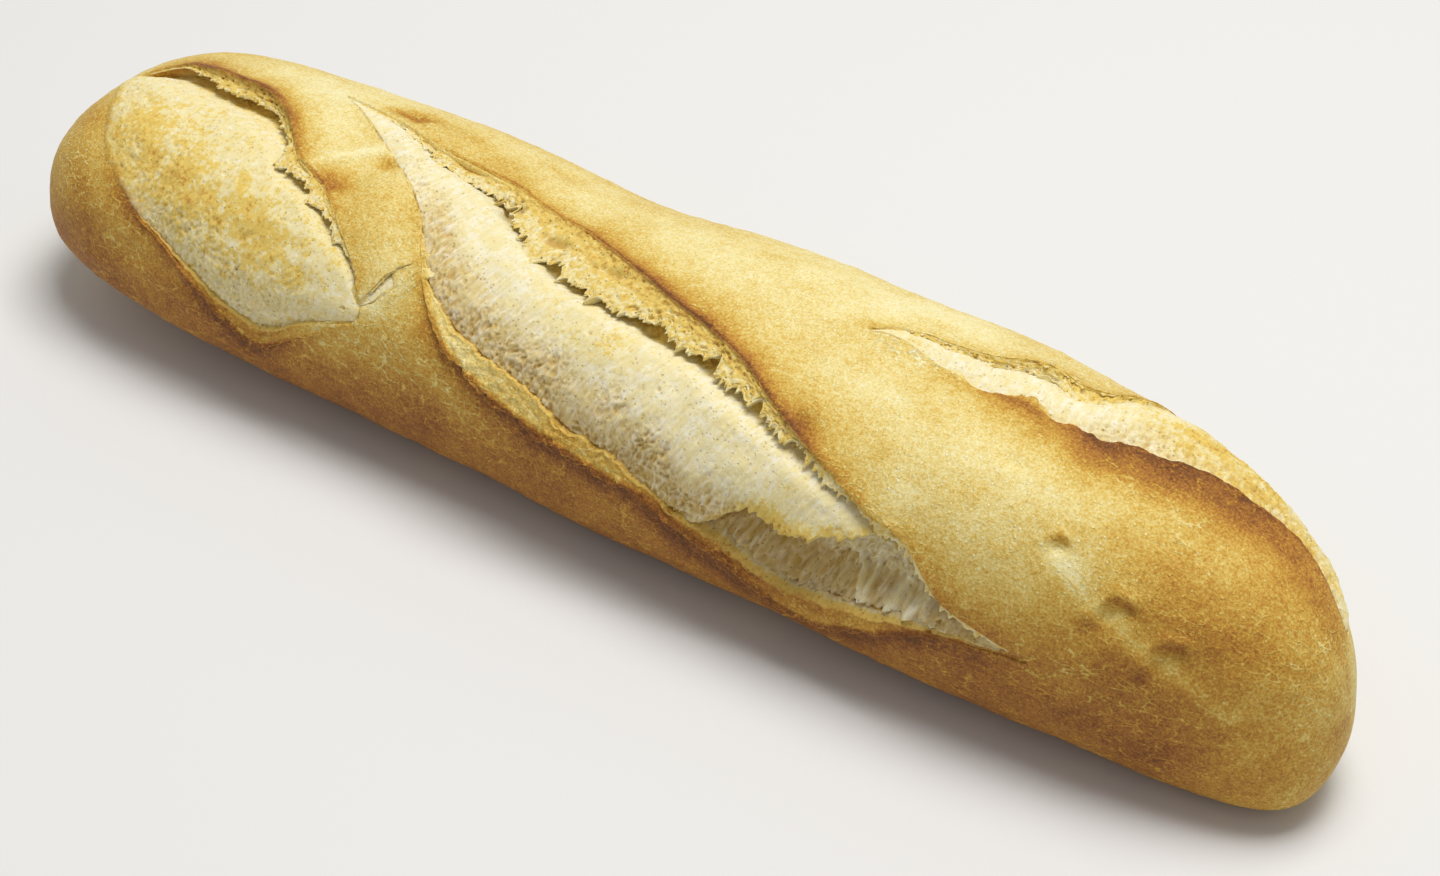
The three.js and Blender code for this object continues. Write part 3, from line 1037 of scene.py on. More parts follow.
# ---------------------------------------------------------------- how the loaf is baked and marked
BAKE_START = 0.30
# Browner lower down the front: partly real browning, partly painted shade of the lower front side.
FRONT_BAKE_AND_SHADE = Rise(0.48, 26, 58)
BACK_BAKE = Rise(0.34, 36, 72)
ENDS_PALER = Rise(0.55, 108, 138)
BAKE_CLOUDS = Wave(0.07, 24, 17, layers=3)
BAKE_LIMIT = 0.94
STRAP_FOLD = ((-78, 14.5), (-75.9, 10.9), (-74.1, 7.2), (-71, 3.3), (-66.8, -0.6), (-62, -2.5))
BAKES_AND_SHADES = (
    Patch(-130, 32, 12, 20, 0.15),  # left end
    Patch(-132, 12, 6, 9, 0.10),
    Patch(-112, 34, 10, 8, 0.14),
    Patch(-122, -20, 12, 12, 0.08),
    Patch(-69.4, 12.1, 4.0, 3.6, 0.30),  # strap, with its two brown spots
    Patch(-64.4, 2.1, 3.0, 2.4, 0.26),
    Patch(-58, 14, 9, 10, 0.08),
    Patch(-69.4, -14.7, 4.0, 2.6, 0.36),  # spots behind the middle cut
    Patch(-73.8, -13.4, 3.0, 1.6, 0.26),
    Patch(-45.7, -9.8, 9, 3.5, 0.12),
    Patch(-35.7, -16.2, 5, 2.5, 0.10),
    Patch(42.3, 22.2, 5, 4, 0.16),
    Patch(74.3, -2.3, 6, 3.0, 0.28),  # round the right cut
    Patch(41.2, -4.0, 3, 1.6, 0.14),
    Patch(49.7, -12.8, 3, 1.6, 0.14),
    Patch(112, 30, 22, 16, 0.20),  # right dome
    Patch(130, 24, 18, 34, 0.20),
    Patch(60, 46, 18, 9, -0.06),
    Patch(88, 38, 10, 8, -0.06),
    Patch(-38, 36, 8, 6, 0.12),
    Patch(-119, 40, 5, 4, 0.10),
    Patch(-127, 18, 4, 5, 0.10),
    Patch(-122, 33, 4, 3, 0.08),
    Crease(((96, -1), (106, -2), (116, -3), (126, -4), (134, -1)), 8.5, 0.22),  # ridge of the right cut
    Patch(52, -14, 16, 8, -0.14),  # pale places
    Patch(30, -10, 22, 9, -0.10),
    Patch(81, 16, 14, 6, -0.10),
    Crease(((94, 26), (99, 29.6), (103.6, 31.0)), 1.9, -0.16),
    Crease(((107, 32.6), (111, 35.2), (114.6, 36.2)), 2.2, -0.18),
    Crease(((117, 37.0), (122, 40.4), (128, 43)), 2.2, -0.14),
    Crease(((103.6, 34.4), (101.6, 35.4)), 1.4, 0.14),
    Crease(((113.6, 39.6), (113.4, 41.4)), 1.6, 0.14),
    # browner inside the three dents' raised arcs: painted shade under each arc
    Crease(((92.4, 23.8), (93.4, 23.0), (94.8, 23.2)), 0.7, 0.24),
    Crease(((104.6, 30.4), (106.4, 29.2), (108.8, 29.6)), 0.9, 0.24),
    Crease(((114.6, 35.4), (116.0, 33.8), (118.4, 33.2)), 0.9, 0.20),
    Patch(-48.8, 33.0, 2.8, 2.2, -0.16),
    Patch(-127, 28, 5, 12, 0.06),
    Patch(-90, -10, 14, 8, -0.10),
    Patch(-79, -3, 7, 7, -0.10),
    Patch(-58, -14, 7, 2.4, 0.12),
    Patch(-126, 50, 14, 12, 0.12),
    Patch(-47, 35, 4, 3, -0.04),
    Patch(-34, 40, 6, 5, -0.05),
    Patch(97, 26, 4, 3, -0.10),
    Crease(STRAP_FOLD, 1.6, -0.16),
)
CRACKLES = (
    Patch(104, 45, 26, 9, 0.8),  # low on the right dome
    Patch(-40, 42, 26, 9, 0.8),  # below the split and the middle cut
    Patch(-84, 50, 26, 6, 0.6),
    Patch(20, 50, 40, 6, 0.5),
    Patch(52, -2, 12, 4, 1.0),  # round the right cut's beginning
    Patch(78, -14, 14, 5, 0.8),
    Patch(134, 24, 8, 20, 0.5),
)
DENTS = (
    Crease(STRAP_FOLD, 1.8, 0.55),
    Crease(((-66, -13.4), (-61, -12.2), (-55, -9.4)), 1.6, 0.5),
    Patch(-69.0, 11.0, 3.4, 3.2, -0.5),
    Patch(-64.4, 3.0, 2.6, 2.4, -0.4),
    Patch(-69.4, -14.0, 3.6, 2.0, -0.8),
    Patch(42.3, 22.2, 2.6, 2.2, -0.9),
    Patch(49.7, -12.8, 3.0, 1.4, -0.6),
    Patch(80.3, 13.9, 2.4, 1.3, -0.6),
    Crease(((91.8, 24.6), (93.1, 22.4), (95.0, 22.6)), 1.0, 0.6),  # three dents low on the dome
    Crease(((93.0, 24.9), (94.6, 24.3)), 1.0, -0.75),
    Crease(((102.6, 33.6), (104.4, 30.2), (106.1, 28.0), (109.0, 28.4)), 1.2, 0.8),
    Crease(((105.4, 32.4), (106.6, 30.6), (108.6, 30.4)), 1.3, -0.75),
    Crease(((113.0, 38.6), (114.2, 35.0), (115.8, 32.8), (118.6, 31.8)), 1.2, 0.8),
    Crease(((115.4, 37.4), (116.2, 35.2), (118.0, 34.4)), 1.3, -0.75),
    Crease(((42.4, -6.6), (46.0, -9.6), (48.0, -9.8), (50.2, -8.0)), 0.5, -0.5),
    Patch(-35.7, -16.2, 3.0, 1.8, -0.6),
    Crease(((-118, 50), (-109, 48), (-100, 46), (-92, 49)), 2.2, 0.5),
)
HOLES = (  # in the torn band of the middle cut's back lip
    Patch(-22.8, 5.2, 2.6, 1.2, 1.8),
    Patch(-50, -5.4, 3.4, 1.2, 2.0),
    Patch(-54.6, -7.4, 2.0, 1.0, 1.6),
    Patch(-40, 0.2, 3.0, 1.3, 1.6),
    Patch(-60.6, -8.0, 2.4, 0.9, 1.5),
    Patch(-66.0, -9.6, 1.6, 0.7, 0.9),
    Patch(-35.5, 0.4, 1.5, 1.2, 1.8),
    Patch(-8, 7.5, 2.6, 1.0, 1.2),
)
TOASTED = (  # where the crumb is golden
    Patch(-113, 16, 9, 8, 0.38),
    Patch(-101, 24, 13, 8, 0.50),
    Patch(-80, 29, 13, 7, 0.52),
    Patch(-66, 33, 5, 5, 0.20),
    Patch(-120, 28, 8, 10, 0.35),
    Patch(-1, 22, 8, 4, 0.45),
    Patch(-13, 18, 6, 4, 0.20),
    Patch(45, 37, 5, 5, 0.30),
    Patch(98, -14, 10, 8, 0.16),
    Patch(120, -18, 22, 14, 0.56),
    Patch(104, -24, 14, 10, 0.44),
    Patch(48, -3, 8, 5, 0.30),
)
MEMBRANES = (  # where it is smooth, stretched over a cell
    Patch(-58, 32.5, 6.5, 7, 1.0),
    Patch(66.5, 17.5, 6, 7, 0.9),
    Patch(-24, 33, 4, 4, 0.5),
)


CREST_LINE = 0.65  # how brown a narrow line on the crest is, and then what fades out behind it
CREST_FADE = 0.55
RIM_LINE = 0.45  # the same of the rim
RIM_FADE = 0.75
LIPS_UNEVEN = Ripple(0.3, 9)


def lip_bake(cut: Cut, along: Array, girth: Array) -> Array:
    """How much browner the crust is for being near a cut's lips.

    Args:
        cut: The cut.
        along: Distances along the loaf.
        girth: Distances round it.

    Returns:
        What it adds to the bake.
    """
    run, step = cut.run_and_step(along, girth)
    back, front = cut.openings(np.clip(run, 0, 1))
    inside = ramp(run, -0.015, 0.04) * (1 - ramp(run, 0.95, 1.015))
    past_crest = -back - through(cut.band, run) - step
    past_rim = step - front - through(cut.flange, run)
    wander = 0.9 + LIPS_UNEVEN.at(run * cut.length, cut.seed)
    crest = CREST_LINE * hump(past_crest - 0.5, 1.9) + CREST_FADE * hump(np.maximum(past_crest - 1, 0), 5.5)
    reach = cut.rim_reach
    fade = hump(np.maximum(past_rim, 0) - 0.25 * reach, reach)
    rim = RIM_LINE * hump(past_rim - 0.8, 2.0) + RIM_FADE * fade
    crest = crest * ramp(past_crest, -2.5, 0.3)
    rim = rim * ramp(past_rim, -1.2, 0.6)
    return inside * wander * (through(cut.crest_bake, run) * crest + through(cut.rim_bake, run) * rim)


def bake_and_shade_level(along: Array, girth: Array) -> Array:
    """How brown the crust is at places on the skin, from 0, pale, to 1, dark brown, with painted shade.

    Args:
        along: Distances along the loaf.
        girth: Distances round it.

    Returns:
        The bake.
    """
    inward = 1 - ENDS_PALER.at(np.abs(along))
    level = BAKE_START + total(BAKES_AND_SHADES, along, girth)
    level += inward * (FRONT_BAKE_AND_SHADE.at(girth) + BACK_BAKE.at(-girth))
    level += BAKE_CLOUDS.at(along, girth, 0.0)
    level += sum(lip_bake(cut, along, girth) for cut in CUTS)
    return np.clip(level, 0, BAKE_LIMIT)


def crackle_level(along: Array, girth: Array) -> Array:
    """How finely wrinkled the crust is at places on the skin, from 0 to 1."""
    return np.clip(total(CRACKLES, along, girth), 0, 1)


# ---------------------------------------------------------------- crust
@dataclass(frozen=True)
class Crust:
    """The loaf's body, with a trench for each cut."""

    rows: int = 400
    columns: int = 224
    closer_on_top: float = 0.25
    end_zone: float = 0.15
    lumps: float = 0.30
    lump_size: float = 19.0
    blisters: float = 0.12
    blister_apart: float = 4.6
    ripples: float = 0.07
    ripple_size: float = 2.4
    trench_depth: float = 13.0
    trench_clear: float = 12.0
    pocket: float = 6.0

    def unevenness(self, along: Array, girth: Array) -> Array:
        """Lumps, dents and small blisters of the crust.

        Args:
            along: Distances along the loaf.
            girth: Distances round it.

        Returns:
            Heights over the smooth skin.
        """
        around = SKIN.plain(along, girth)
        nearest, _ = GRAIN.cells(around / self.blister_apart)
        blister = self.blisters * ramp(0.45 - nearest, 0, 0.4)
        height = self.lumps * GRAIN.layered(around / self.lump_size, layers=2) + blister
        height = height + self.ripples * GRAIN.smooth(around / self.ripple_size)
        return height * SKIN.calm(along) + total(DENTS, along, girth)

    def _form(self, u: Array, v: Array) -> tuple[Array, Numbers]:
        """Wrap the grid round the loaf, with its rows closer on top and towards the ends.

        Args:
            u: How far along the piece, from 0 to 1.
            v: How far across or round it, from 0 to 1.

        Returns:
            The places, and the numbers that the material reads.
        """
        slope = 1 / (1 - self.end_zone / 2)
        toward = np.abs(2 * u - 1)
        near_end = 1 - slope / (2 * self.end_zone) * (1 - toward) ** 2
        share = np.where(1 - toward < self.end_zone, near_end, slope * toward)
        along = np.sign(u - 0.5) * share * SKIN.length / 2
        turn = 2 * np.pi * v
        girth = SKIN.girth * (turn - self.closer_on_top * np.sin(turn)) / (2 * np.pi)
        girth = np.where(girth > SKIN.girth / 2, girth - SKIN.girth, girth)
        places = SKIN.off(along, girth, self.unevenness(along, girth))
        places[:, 2] = np.maximum(places[:, 2], 0)
        return places, {}

    def _trench(self, cut: Cut) -> bpy.types.Object:
        """The tool that opens the body under one cut.

        Args:
            cut: The cut.

        Returns:
            The tool, closed.
        """

        def former(u: Array, v: Array) -> tuple[Array, Numbers]:
            """Bend the grid into the tool.

            Args:
                u: How far along the cut, from 0 to 1.
                v: How far round the tool, from 0 to 1.

            Returns:
                The tool's places, and no numbers.
            """
            run = run_of(u)
            back, front = cut.openings(run)
            band = through(cut.band, run)
            width = np.maximum(back + front, 0.3)
            deep = np.minimum(self.trench_depth, 1.2 + 0.8 * width)
            pocket = self.pocket * ramp(width, 1, 12)
            low = np.maximum(0.5 * band, through(cut.edge, run))
            top = -back - 0.8 * band
            half = 0.5 * (front - back)
            clear = self.trench_clear
            steps = (top, top, -back - pocket, -back - 0.3 * pocket, half)
            steps = (*steps, front, front + 0.6, front + 0.6, half)
            heights = (clear, -0.2 - low, -0.45 * deep - 1.6, -deep, -deep, -0.8 * deep, -0.6, clear, clear)
            tip = (u < AT_TIP) | (u > 1 - AT_TIP)
            step = np.where(tip, half, straight_loop(v, steps))
            return cut.off(run, step, np.where(tip, 0, straight_loop(v, heights))), {}

        return formed_sheet(cut.piece("trench"), max(int(cut.length / 0.8), 40), 36, former)

    def build(self) -> bpy.types.Object:
        """Form the body and carve it.

        Returns:
            The crust, closed, with the numbers that its material reads.
        """
        body = formed_sheet("crust", self.rows, self.columns, self._form)
        for cut in CUTS:
            carve(body, self._trench(cut))
        points = corners_of(body) / MM
        along, girth = SKIN.unwrap(points)
        depth = np.sum((SKIN.off(along, girth, 0.0) - points) * SKIN.outward(along, girth), axis=1)
        numbers = {
            "bake": bake_and_shade_level(along, girth),
            "crackle": crackle_level(along, girth),
            "torn": ramp(depth, 1.6, 2.4) * (points[:, 2] > 6),
            # trench walls: painted shade all over, and browner towards the left end
            "toast_and_shade": 0.25 + 0.3 * hump(along + 105, 30),
            "painted_shade": 0.5 + 0 * along,
        }
        store(body, numbers)
        return body


# ---------------------------------------------------------------- lips
@dataclass(frozen=True)
class Lip:
    """What the lips of a cut share: how finely they are made, and how they sink into the crust round them."""

    cut: Cut
    kind: str = "lip"
    thick: float = 3.0
    sink: float = 0.30
    fine: float = 0.27
    rows_round: int = 84

    def _merge(self, run: Array, merge: Profile) -> Array:
        """How far out the lip sinks into the crust, which is less towards its tips."""
        return through(merge, run) * ramp(np.minimum(run, 1 - run), -0.02, 0.12) + 0.5

    def _laid(
        self, u: Array, step: Array, height: Array, crust: Array, numbers: Numbers
    ) -> tuple[Array, Numbers]:
        """Lay a section's places on the skin, with the bake and the crackle that they have there.

        Args:
            u: How far along the lip, from 0 to 1.
            step: Steps to the front of the cut's line.
            height: Heights over the skin.
            crust: How much of the crust's unevenness each place has.
            numbers: The section's own numbers. Its bake, if it has one, comes on top of the crust's.

        Returns:
            The places, and all their numbers.
        """
        run = run_of(u)
        tip = np.sin(np.pi * np.clip(u, 0, 1)) ** 0.5
        along, girth = self.cut.place(run, step)
        height = height * tip - 0.5 * (1 - tip) + crust * Crust().unevenness(along, girth)
        places = SKIN.off(along, girth, height)
        close_tips(places, u)
        bake = np.clip(bake_and_shade_level(along, girth) + numbers.get("bake", 0), 0, 1)
        own = {"bake": bake, "crackle": crackle_level(along, girth), "way": run * self.cut.length}
        return places, numbers | own

    def _form(self, u: Array, v: Array) -> tuple[Array, Numbers]:
        """Lay the section along the cut."""
        raise NotImplementedError

    def build(self) -> bpy.types.Object:
        """Form the lip."""
        across = int(self.cut.length / self.fine)
        return formed_sheet(self.cut.piece(self.kind), across, self.rows_round, self._form)


@dataclass(frozen=True)
class BackLip(Lip):
    """The raised back lip: the lifted crust, its crest, and the torn band that ends in a ragged edge."""

    kind: str = "back_lip"
    sponge: float = 0.30
    pit: float = 0.75
    pore: float = 0.22
    frills: tuple[Ripple, ...] = (Ripple(0.7, 1.3, 2), Ripple(0.7, 4))
    crinkles: tuple[Ripple, ...] = (Ripple(0.14, 1.3, 8), Ripple(0.24, 3.4, 9))
    uneven_crest: Ripple = Ripple(0.3, 8, 5)
    uneven_edge: Ripple = Ripple(0.2, 3, 6)
    pit_cells: Cells = Cells(1.7, 1.5)
    pore_cells: Cells = Cells(0.8, 0.8, 4)
    pitted: Wave = Wave(1.0, 6, 4, 3)
    rough: Wave = Wave(1.0, 1.5, 1.3, layers=3, gain=0.6)
    least_band: float = 0.3

    def _sizes(self, run: Array) -> tuple[Array, Array, Array, Array]:
        """The lip's sizes along the cut.

        Args:
            run: Shares of the cut's length.

        Returns:
            The torn band's width, the crest's height, the edge's depth and the undercut.
        """
        cut = self.cut
        band = np.maximum(through(cut.band, run), self.least_band)
        crest = through(cut.crest, run) * (1 + self.uneven_crest.at(run * cut.length, cut.seed))
        return band, crest, through(cut.edge, run), through(cut.undercut, run)

    def _profile(self, run: Array, v: Array) -> tuple[Array, Array]:
        """The lip's section: from the edge up the torn band, over the crest and down the lifted crust.

        Args:
            run: Shares of the cut's length.
            v: How far round the section, from 0 to 1.

        Returns:
            The distance out from the edge and the height over the skin.
        """
        band, crest, edge, under = self._sizes(run)
        lip = 0.6 + self.uneven_edge.at(run * self.cut.length, self.cut.seed)
        merge = self._merge(run, self.cut.back_merge)
        return section(
            v,
            (
                (0.0, 2.6, -edge - lip - 1.6),
                (0.07, 0.8, -edge - lip - 0.3),
                (0.12, 0.05, -edge - 0.6 * lip),
                (0.16, 0.0, -edge),
                (0.25, 0.25 * band, 0.1 * crest - 0.75 * edge),
                (0.40, 0.75 * band + 0.8 * under, 0.35 * crest - 0.25 * edge),
                (0.475, 0.96 * band + 0.6 * under, 0.75 * crest),
                (0.52, band, crest),
                (0.57, band + 0.9, 0.97 * crest),
                (0.66, band + 3.0, 0.5 * crest),
                (0.84, band + merge, -self.sink),
                (0.90, band + merge - 1.5, -self.thick),
                (1.0, 2.6, -edge - lip - 1.6),
            ),
        )

    def _form(self, u: Array, v: Array) -> tuple[Array, Numbers]:
        """Lay the section along the cut, with its torn edge and the sponge of its torn band.

        Args:
            u: How far along the lip, from 0 to 1.
            v: How far round its section, from 0 to 1.

        Returns:
            The places, and the numbers that the material reads.
        """
        cut = self.cut
        seed = cut.seed
        run = run_of(u)
        way = run * cut.length
        opening, _ = cut.openings(run)
        band, crest, edge, under = self._sizes(run)
        out, height = self._profile(run, v)
        on_band = ramp(v, 0.13, 0.2) * (1 - ramp(v, 0.47, 0.53))
        torn = np.where(v < 0.75, 1 - ramp(v, 0.45, 0.55), ramp(v, 0.86, 0.9))
        loose = (1 - ramp(out, 0, 0.9 * band)) * (v < 0.6) * ramp(band, 0.2, 1.8)
        step = cut.tear(run, Side.BACK) * loose - opening - out
        up = out + height
        rough = self.rough.at(way, up, seed)
        pits = ramp(0.44 - self.pit_cells.at(way, up, seed)[0], 0, 0.34)
        pits = pits * ramp(self.pitted.at(way, up, seed), -0.5, 0.4)
        pores = ramp(0.40 - self.pore_cells.at(way, up, seed)[0], 0, 0.3)
        holes = total(HOLES, *cut.place(run, step))
        sunk = on_band * (self.pit * pits + self.pore * pores + holes - self.sponge * rough)
        frill = sum(ripple.at(way, seed) for ripple in self.frills)
        crinkle = sum(ripple.at(way, seed) for ripple in self.crinkles)
        height = height + hump(v - 0.16, 0.04) * ramp(band, 0.4, 2.5) * frill
        height = height + hump(v - 0.53, 0.04) * crinkle * (1 + 0.5 * under)
        steep = (crest + edge) / band
        inward = sunk * steep / np.hypot(1, steep)
        height = height - sunk / np.hypot(1, steep)
        toasted = 0.34 + 0.3 * rough + 0.5 * through(cut.crest_bake, run)
        toasted = toasted + 0.40 * ramp((out + inward) / band, 0.2, 1.0)
        numbers = {
            "bake": 0.22 * ramp(band, 0.5, 4) * hump(v - 0.545, 0.02),
            "torn": torn,
            "toast_and_shade": np.clip(toasted * ramp(v, 0.08, 0.2), 0, 1),
            # painted shade in the torn band's pits, pores and holes
            "painted_shade": np.clip(0.9 * pits + 0.4 * pores + 0.5 * holes, 0, 1) * on_band,
            "step": up,
        }
        return self._laid(u, step - inward, height, (v > 0.53) & (v < 0.86), numbers)


@dataclass(frozen=True)
class Fringe(Lip):
    """The frayed ends that hang from the back lip's torn edge: a thin ribbon, drawn out into points."""

    kind: str = "fringe"
    reach: float = 1.6
    root: float = 0.9
    curl: Ripple = Ripple(0.22, 1.9, 7)
    blotches: Wave = Wave(0.3, 2.5, 1.0, 9)
    ribbon: float = 0.3
    ends: tuple[Ripple, ...] = (Ripple(1.0, 1.0), Ripple(0.7, 2.6, 3), Ripple(0.3, 9, 5))
    fine: float = 0.13
    rows_round: int = 14

    def _form(self, u: Array, v: Array) -> tuple[Array, Numbers]:
        """Lay the ribbon along the torn edge.

        Args:
            u: How far along the piece, from 0 to 1.
            v: How far across or round it, from 0 to 1.

        Returns:
            The places, and the numbers that the material reads.
        """
        cut = self.cut
        seed = cut.seed + 80
        run = run_of(u)
        way = run * cut.length
        opening, _ = cut.openings(run)
        band = through(cut.band, run)
        points = np.maximum(sum(ripple.at(way, seed) for ripple in self.ends), -0.3)
        across = 1 - np.abs(2 * v - 1)
        lift = self.curl.at(way, seed) - 0.1
        thick = self.ribbon * (1 - 0.8 * across) * np.sin(np.pi * np.clip(across, 0.02, 0.98)) ** 0.5 + 0.03
        out = self.root - (self.root + self.reach * cut.ragged[0] * points) * across
        height = cut.fray * through(cut.crest, run) - (1 - cut.fray) * through(cut.edge, run) - 0.25
        height = height + lift * np.maximum(-out, 0) + np.where(v < 0.5, -thick, thick) * (across < 0.999)
        tear = cut.tear(run, Side.BACK) * ramp(band, 0.2, 1.8) * (1 - cut.fray)
        toast_and_shade = 0.5 + self.blotches.at(way, across, seed) + cut.toasted
        # a little painted shade all along the fringe
        numbers = {"torn": 1 + 0 * v, "toast_and_shade": np.clip(toast_and_shade, 0, 1), "painted_shade": 0.1 + 0 * v, "step": out}
        return self._laid(u, tear - opening - cut.fray * band - out, height, 0 * v, numbers)


@dataclass(frozen=True)
class FrontLip(Lip):
    """The front lip: a thin torn edge, and a rim of crust that flares out where the loaf opened widest."""

    kind: str = "front_lip"
    hidden: float = -3.4
    wavy: tuple[Ripple, ...] = (Ripple(0.3, 5, 60), Ripple(0.26, 1.8, 61))
    uneven_rim: Ripple = Ripple(0.4, 6, 70)
    frilled: Ripple = Ripple(0.16, 1.4, 71)
    relief: Wave = Wave(0.34, 2.2, 1.4, layers=3, gain=0.6)
    rows_round: int = 68

    def _form(self, u: Array, v: Array) -> tuple[Array, Numbers]:
        """Lay the rim's section along the cut.

        Args:
            u: How far along the piece, from 0 to 1.
            v: How far across or round it, from 0 to 1.

        Returns:
            The places, and the numbers that the material reads.
        """
        cut = self.cut
        seed = cut.seed
        run = run_of(u)
        way = run * cut.length
        _, opening = cut.openings(run)
        wavy = sum(ripple.at(way, seed) for ripple in self.wavy)
        wide = np.maximum(through(cut.flange, run), 0) * (1 + wavy)
        rim = through(cut.rim, run) * (1 + self.uneven_rim.at(way, seed))
        rim = rim + ramp(wide, 0.3, 2) * self.frilled.at(way, seed)
        under = through(cut.overhang, run)
        merge = self._merge(run, cut.front_merge)
        closed = ramp(run, cut.open_front - 0.06, cut.open_front + 0.06) if cut.open_front else 1.0
        lay = 2.5 * (1 - closed)
        out, height = section(
            v,
            (
                (0.0, -0.8, self.hidden),
                (0.06, -0.6, -1.9),
                (0.11, -0.15, -0.6 - lay),
                (0.15, 0.1, 0.25 * rim - lay),
                (0.19, 0.5 + 0.1 * wide, 0.3 * rim - lay),
                (0.36, 0.5 + 0.85 * wide, 0.85 * rim - lay),
                (0.41, 0.6 + wide, rim - lay),
                (0.45, 0.95 + wide, rim * (1 - 0.05 * (1 - under)) - 0.35 * under - lay),
                (0.50, 1.5 - 0.8 * under + wide, rim * (0.9 - 0.6 * under) - 0.3 * under - lay),
                (0.58, 2.4 - 0.5 * under + wide, rim * (0.75 - 0.7 * under) - lay),
                (0.86, wide + merge, -self.sink),
                (0.92, wide + merge - 1, -self.thick),
                (1.0, -0.8, self.hidden),
            ),
        )
        reach = -cut.tear(run, Side.FRONT) * (1 - ramp(out, 0.0, 1.0 + wide)) * (v < 0.5)
        on_rim = ramp(v, 0.13, 0.2) * (1 - ramp(v, 0.42, 0.5))
        height = height + on_rim * self.relief.at(way, out, seed)
        torn = (1 - ramp(v, 0.12, 0.17)) * closed * ramp(np.minimum(run, 1 - run), 0.0, 0.10)
        toast_and_shade = np.clip(0.55 + 0.8 * through(cut.rim_bake, run), 0, 1) * ramp(v, 0.02, 0.11)
        # a paler flange face, and a painted highlight along the rim's outer edge, both where the rim
        # overhangs
        paler_face_and_highlight = 0.08 * hump(v - 0.31, 0.09) + 0.20 * hump(v - 0.42, 0.02)
        # painted shade on the torn inner edge
        numbers = {"bake": -paler_face_and_highlight * under, "torn": torn, "toast_and_shade": toast_and_shade, "painted_shade": 0.4 * torn, "step": out}
        return self._laid(u, opening + out + reach, height, (v > 0.5) & (v < 0.9), numbers)


# ---------------------------------------------------------------- crumb
class Spots:
    """Places across a cut's opening, with how far each is from the opening's two sides."""

    def __init__(self, cut: Cut, run: Array, step: Array) -> None:
        """Measure the places.

        Args:
            cut: The cut.
            run: Shares of its length.
            step: Steps to the front of its line.
        """
        back, front = cut.openings(run)
        self.cut = cut
        self.run = run
        self.step = step
        self.way = run * cut.length
        self.along, self.girth = cut.place(run, step)
        self.width = np.maximum(back + front, LEAST_OPENING)
        self.small = ramp(self.width, 1.0, 9.0)
        self.from_back = step + back
        self.from_front = front - step
        self.share = np.clip(self.from_back / self.width, 0, 1)
        self.drop = through(cut.drop, run)
        self.rise = through(cut.rise, run)
        self.overlap = through(cut.overlap, run)
        self.spread = ramp(self.overlap, 0, 3)
        self.calm = np.clip(total(MEMBRANES, self.along, self.girth), 0, 1)


@dataclass(frozen=True)
class Web:
    """A fold of crumb that was drawn out across the cave, from one run and step to another."""

    start: tuple[float, float]
    stop: tuple[float, float]
    half: float
    wander: Wave = Wave(0.8, 3.4, 3.4, 95)

    def near(self, spots: Spots) -> Array:
        """How near places are to it: 1 on its ridge, which widens towards its ends.

        Args:
            spots: Places in the cut's opening.

        Returns:
            How near each place is.
        """
        length = spots.cut.length
        bent = spots.way + self.wander.at(spots.way, spots.step, 0.0)
        start = (self.start[0] * length, self.start[1])
        stop = (self.stop[0] * length, self.stop[1])
        apart, share = beside(bent, spots.step, start, stop)
        return hump(apart, self.half * (0.8 + 1.4 * np.abs(share - 0.5)))


@dataclass(frozen=True)
class Hollowing:
    """What a cave does to the crumb: nothing, unless it is given.

    Attributes:
        inside: How much of each place is in the cave.
        near: How near it is to the edge of the shelf over the cave.
        web: How near it is to the ridge of a web.
        depth: How far it is sunk.
        relief: How much higher its fine relief is.
        dark: How much painted shade it has, under the back lip and in the cave's last stretch.
    """

    inside: Array | float = 0.0
    near: Array | float = 0.0
    web: Array | float = 0.0
    depth: Array | float = 0.0
    relief: Array | float = 0.0
    dark: Array | float = 0.0


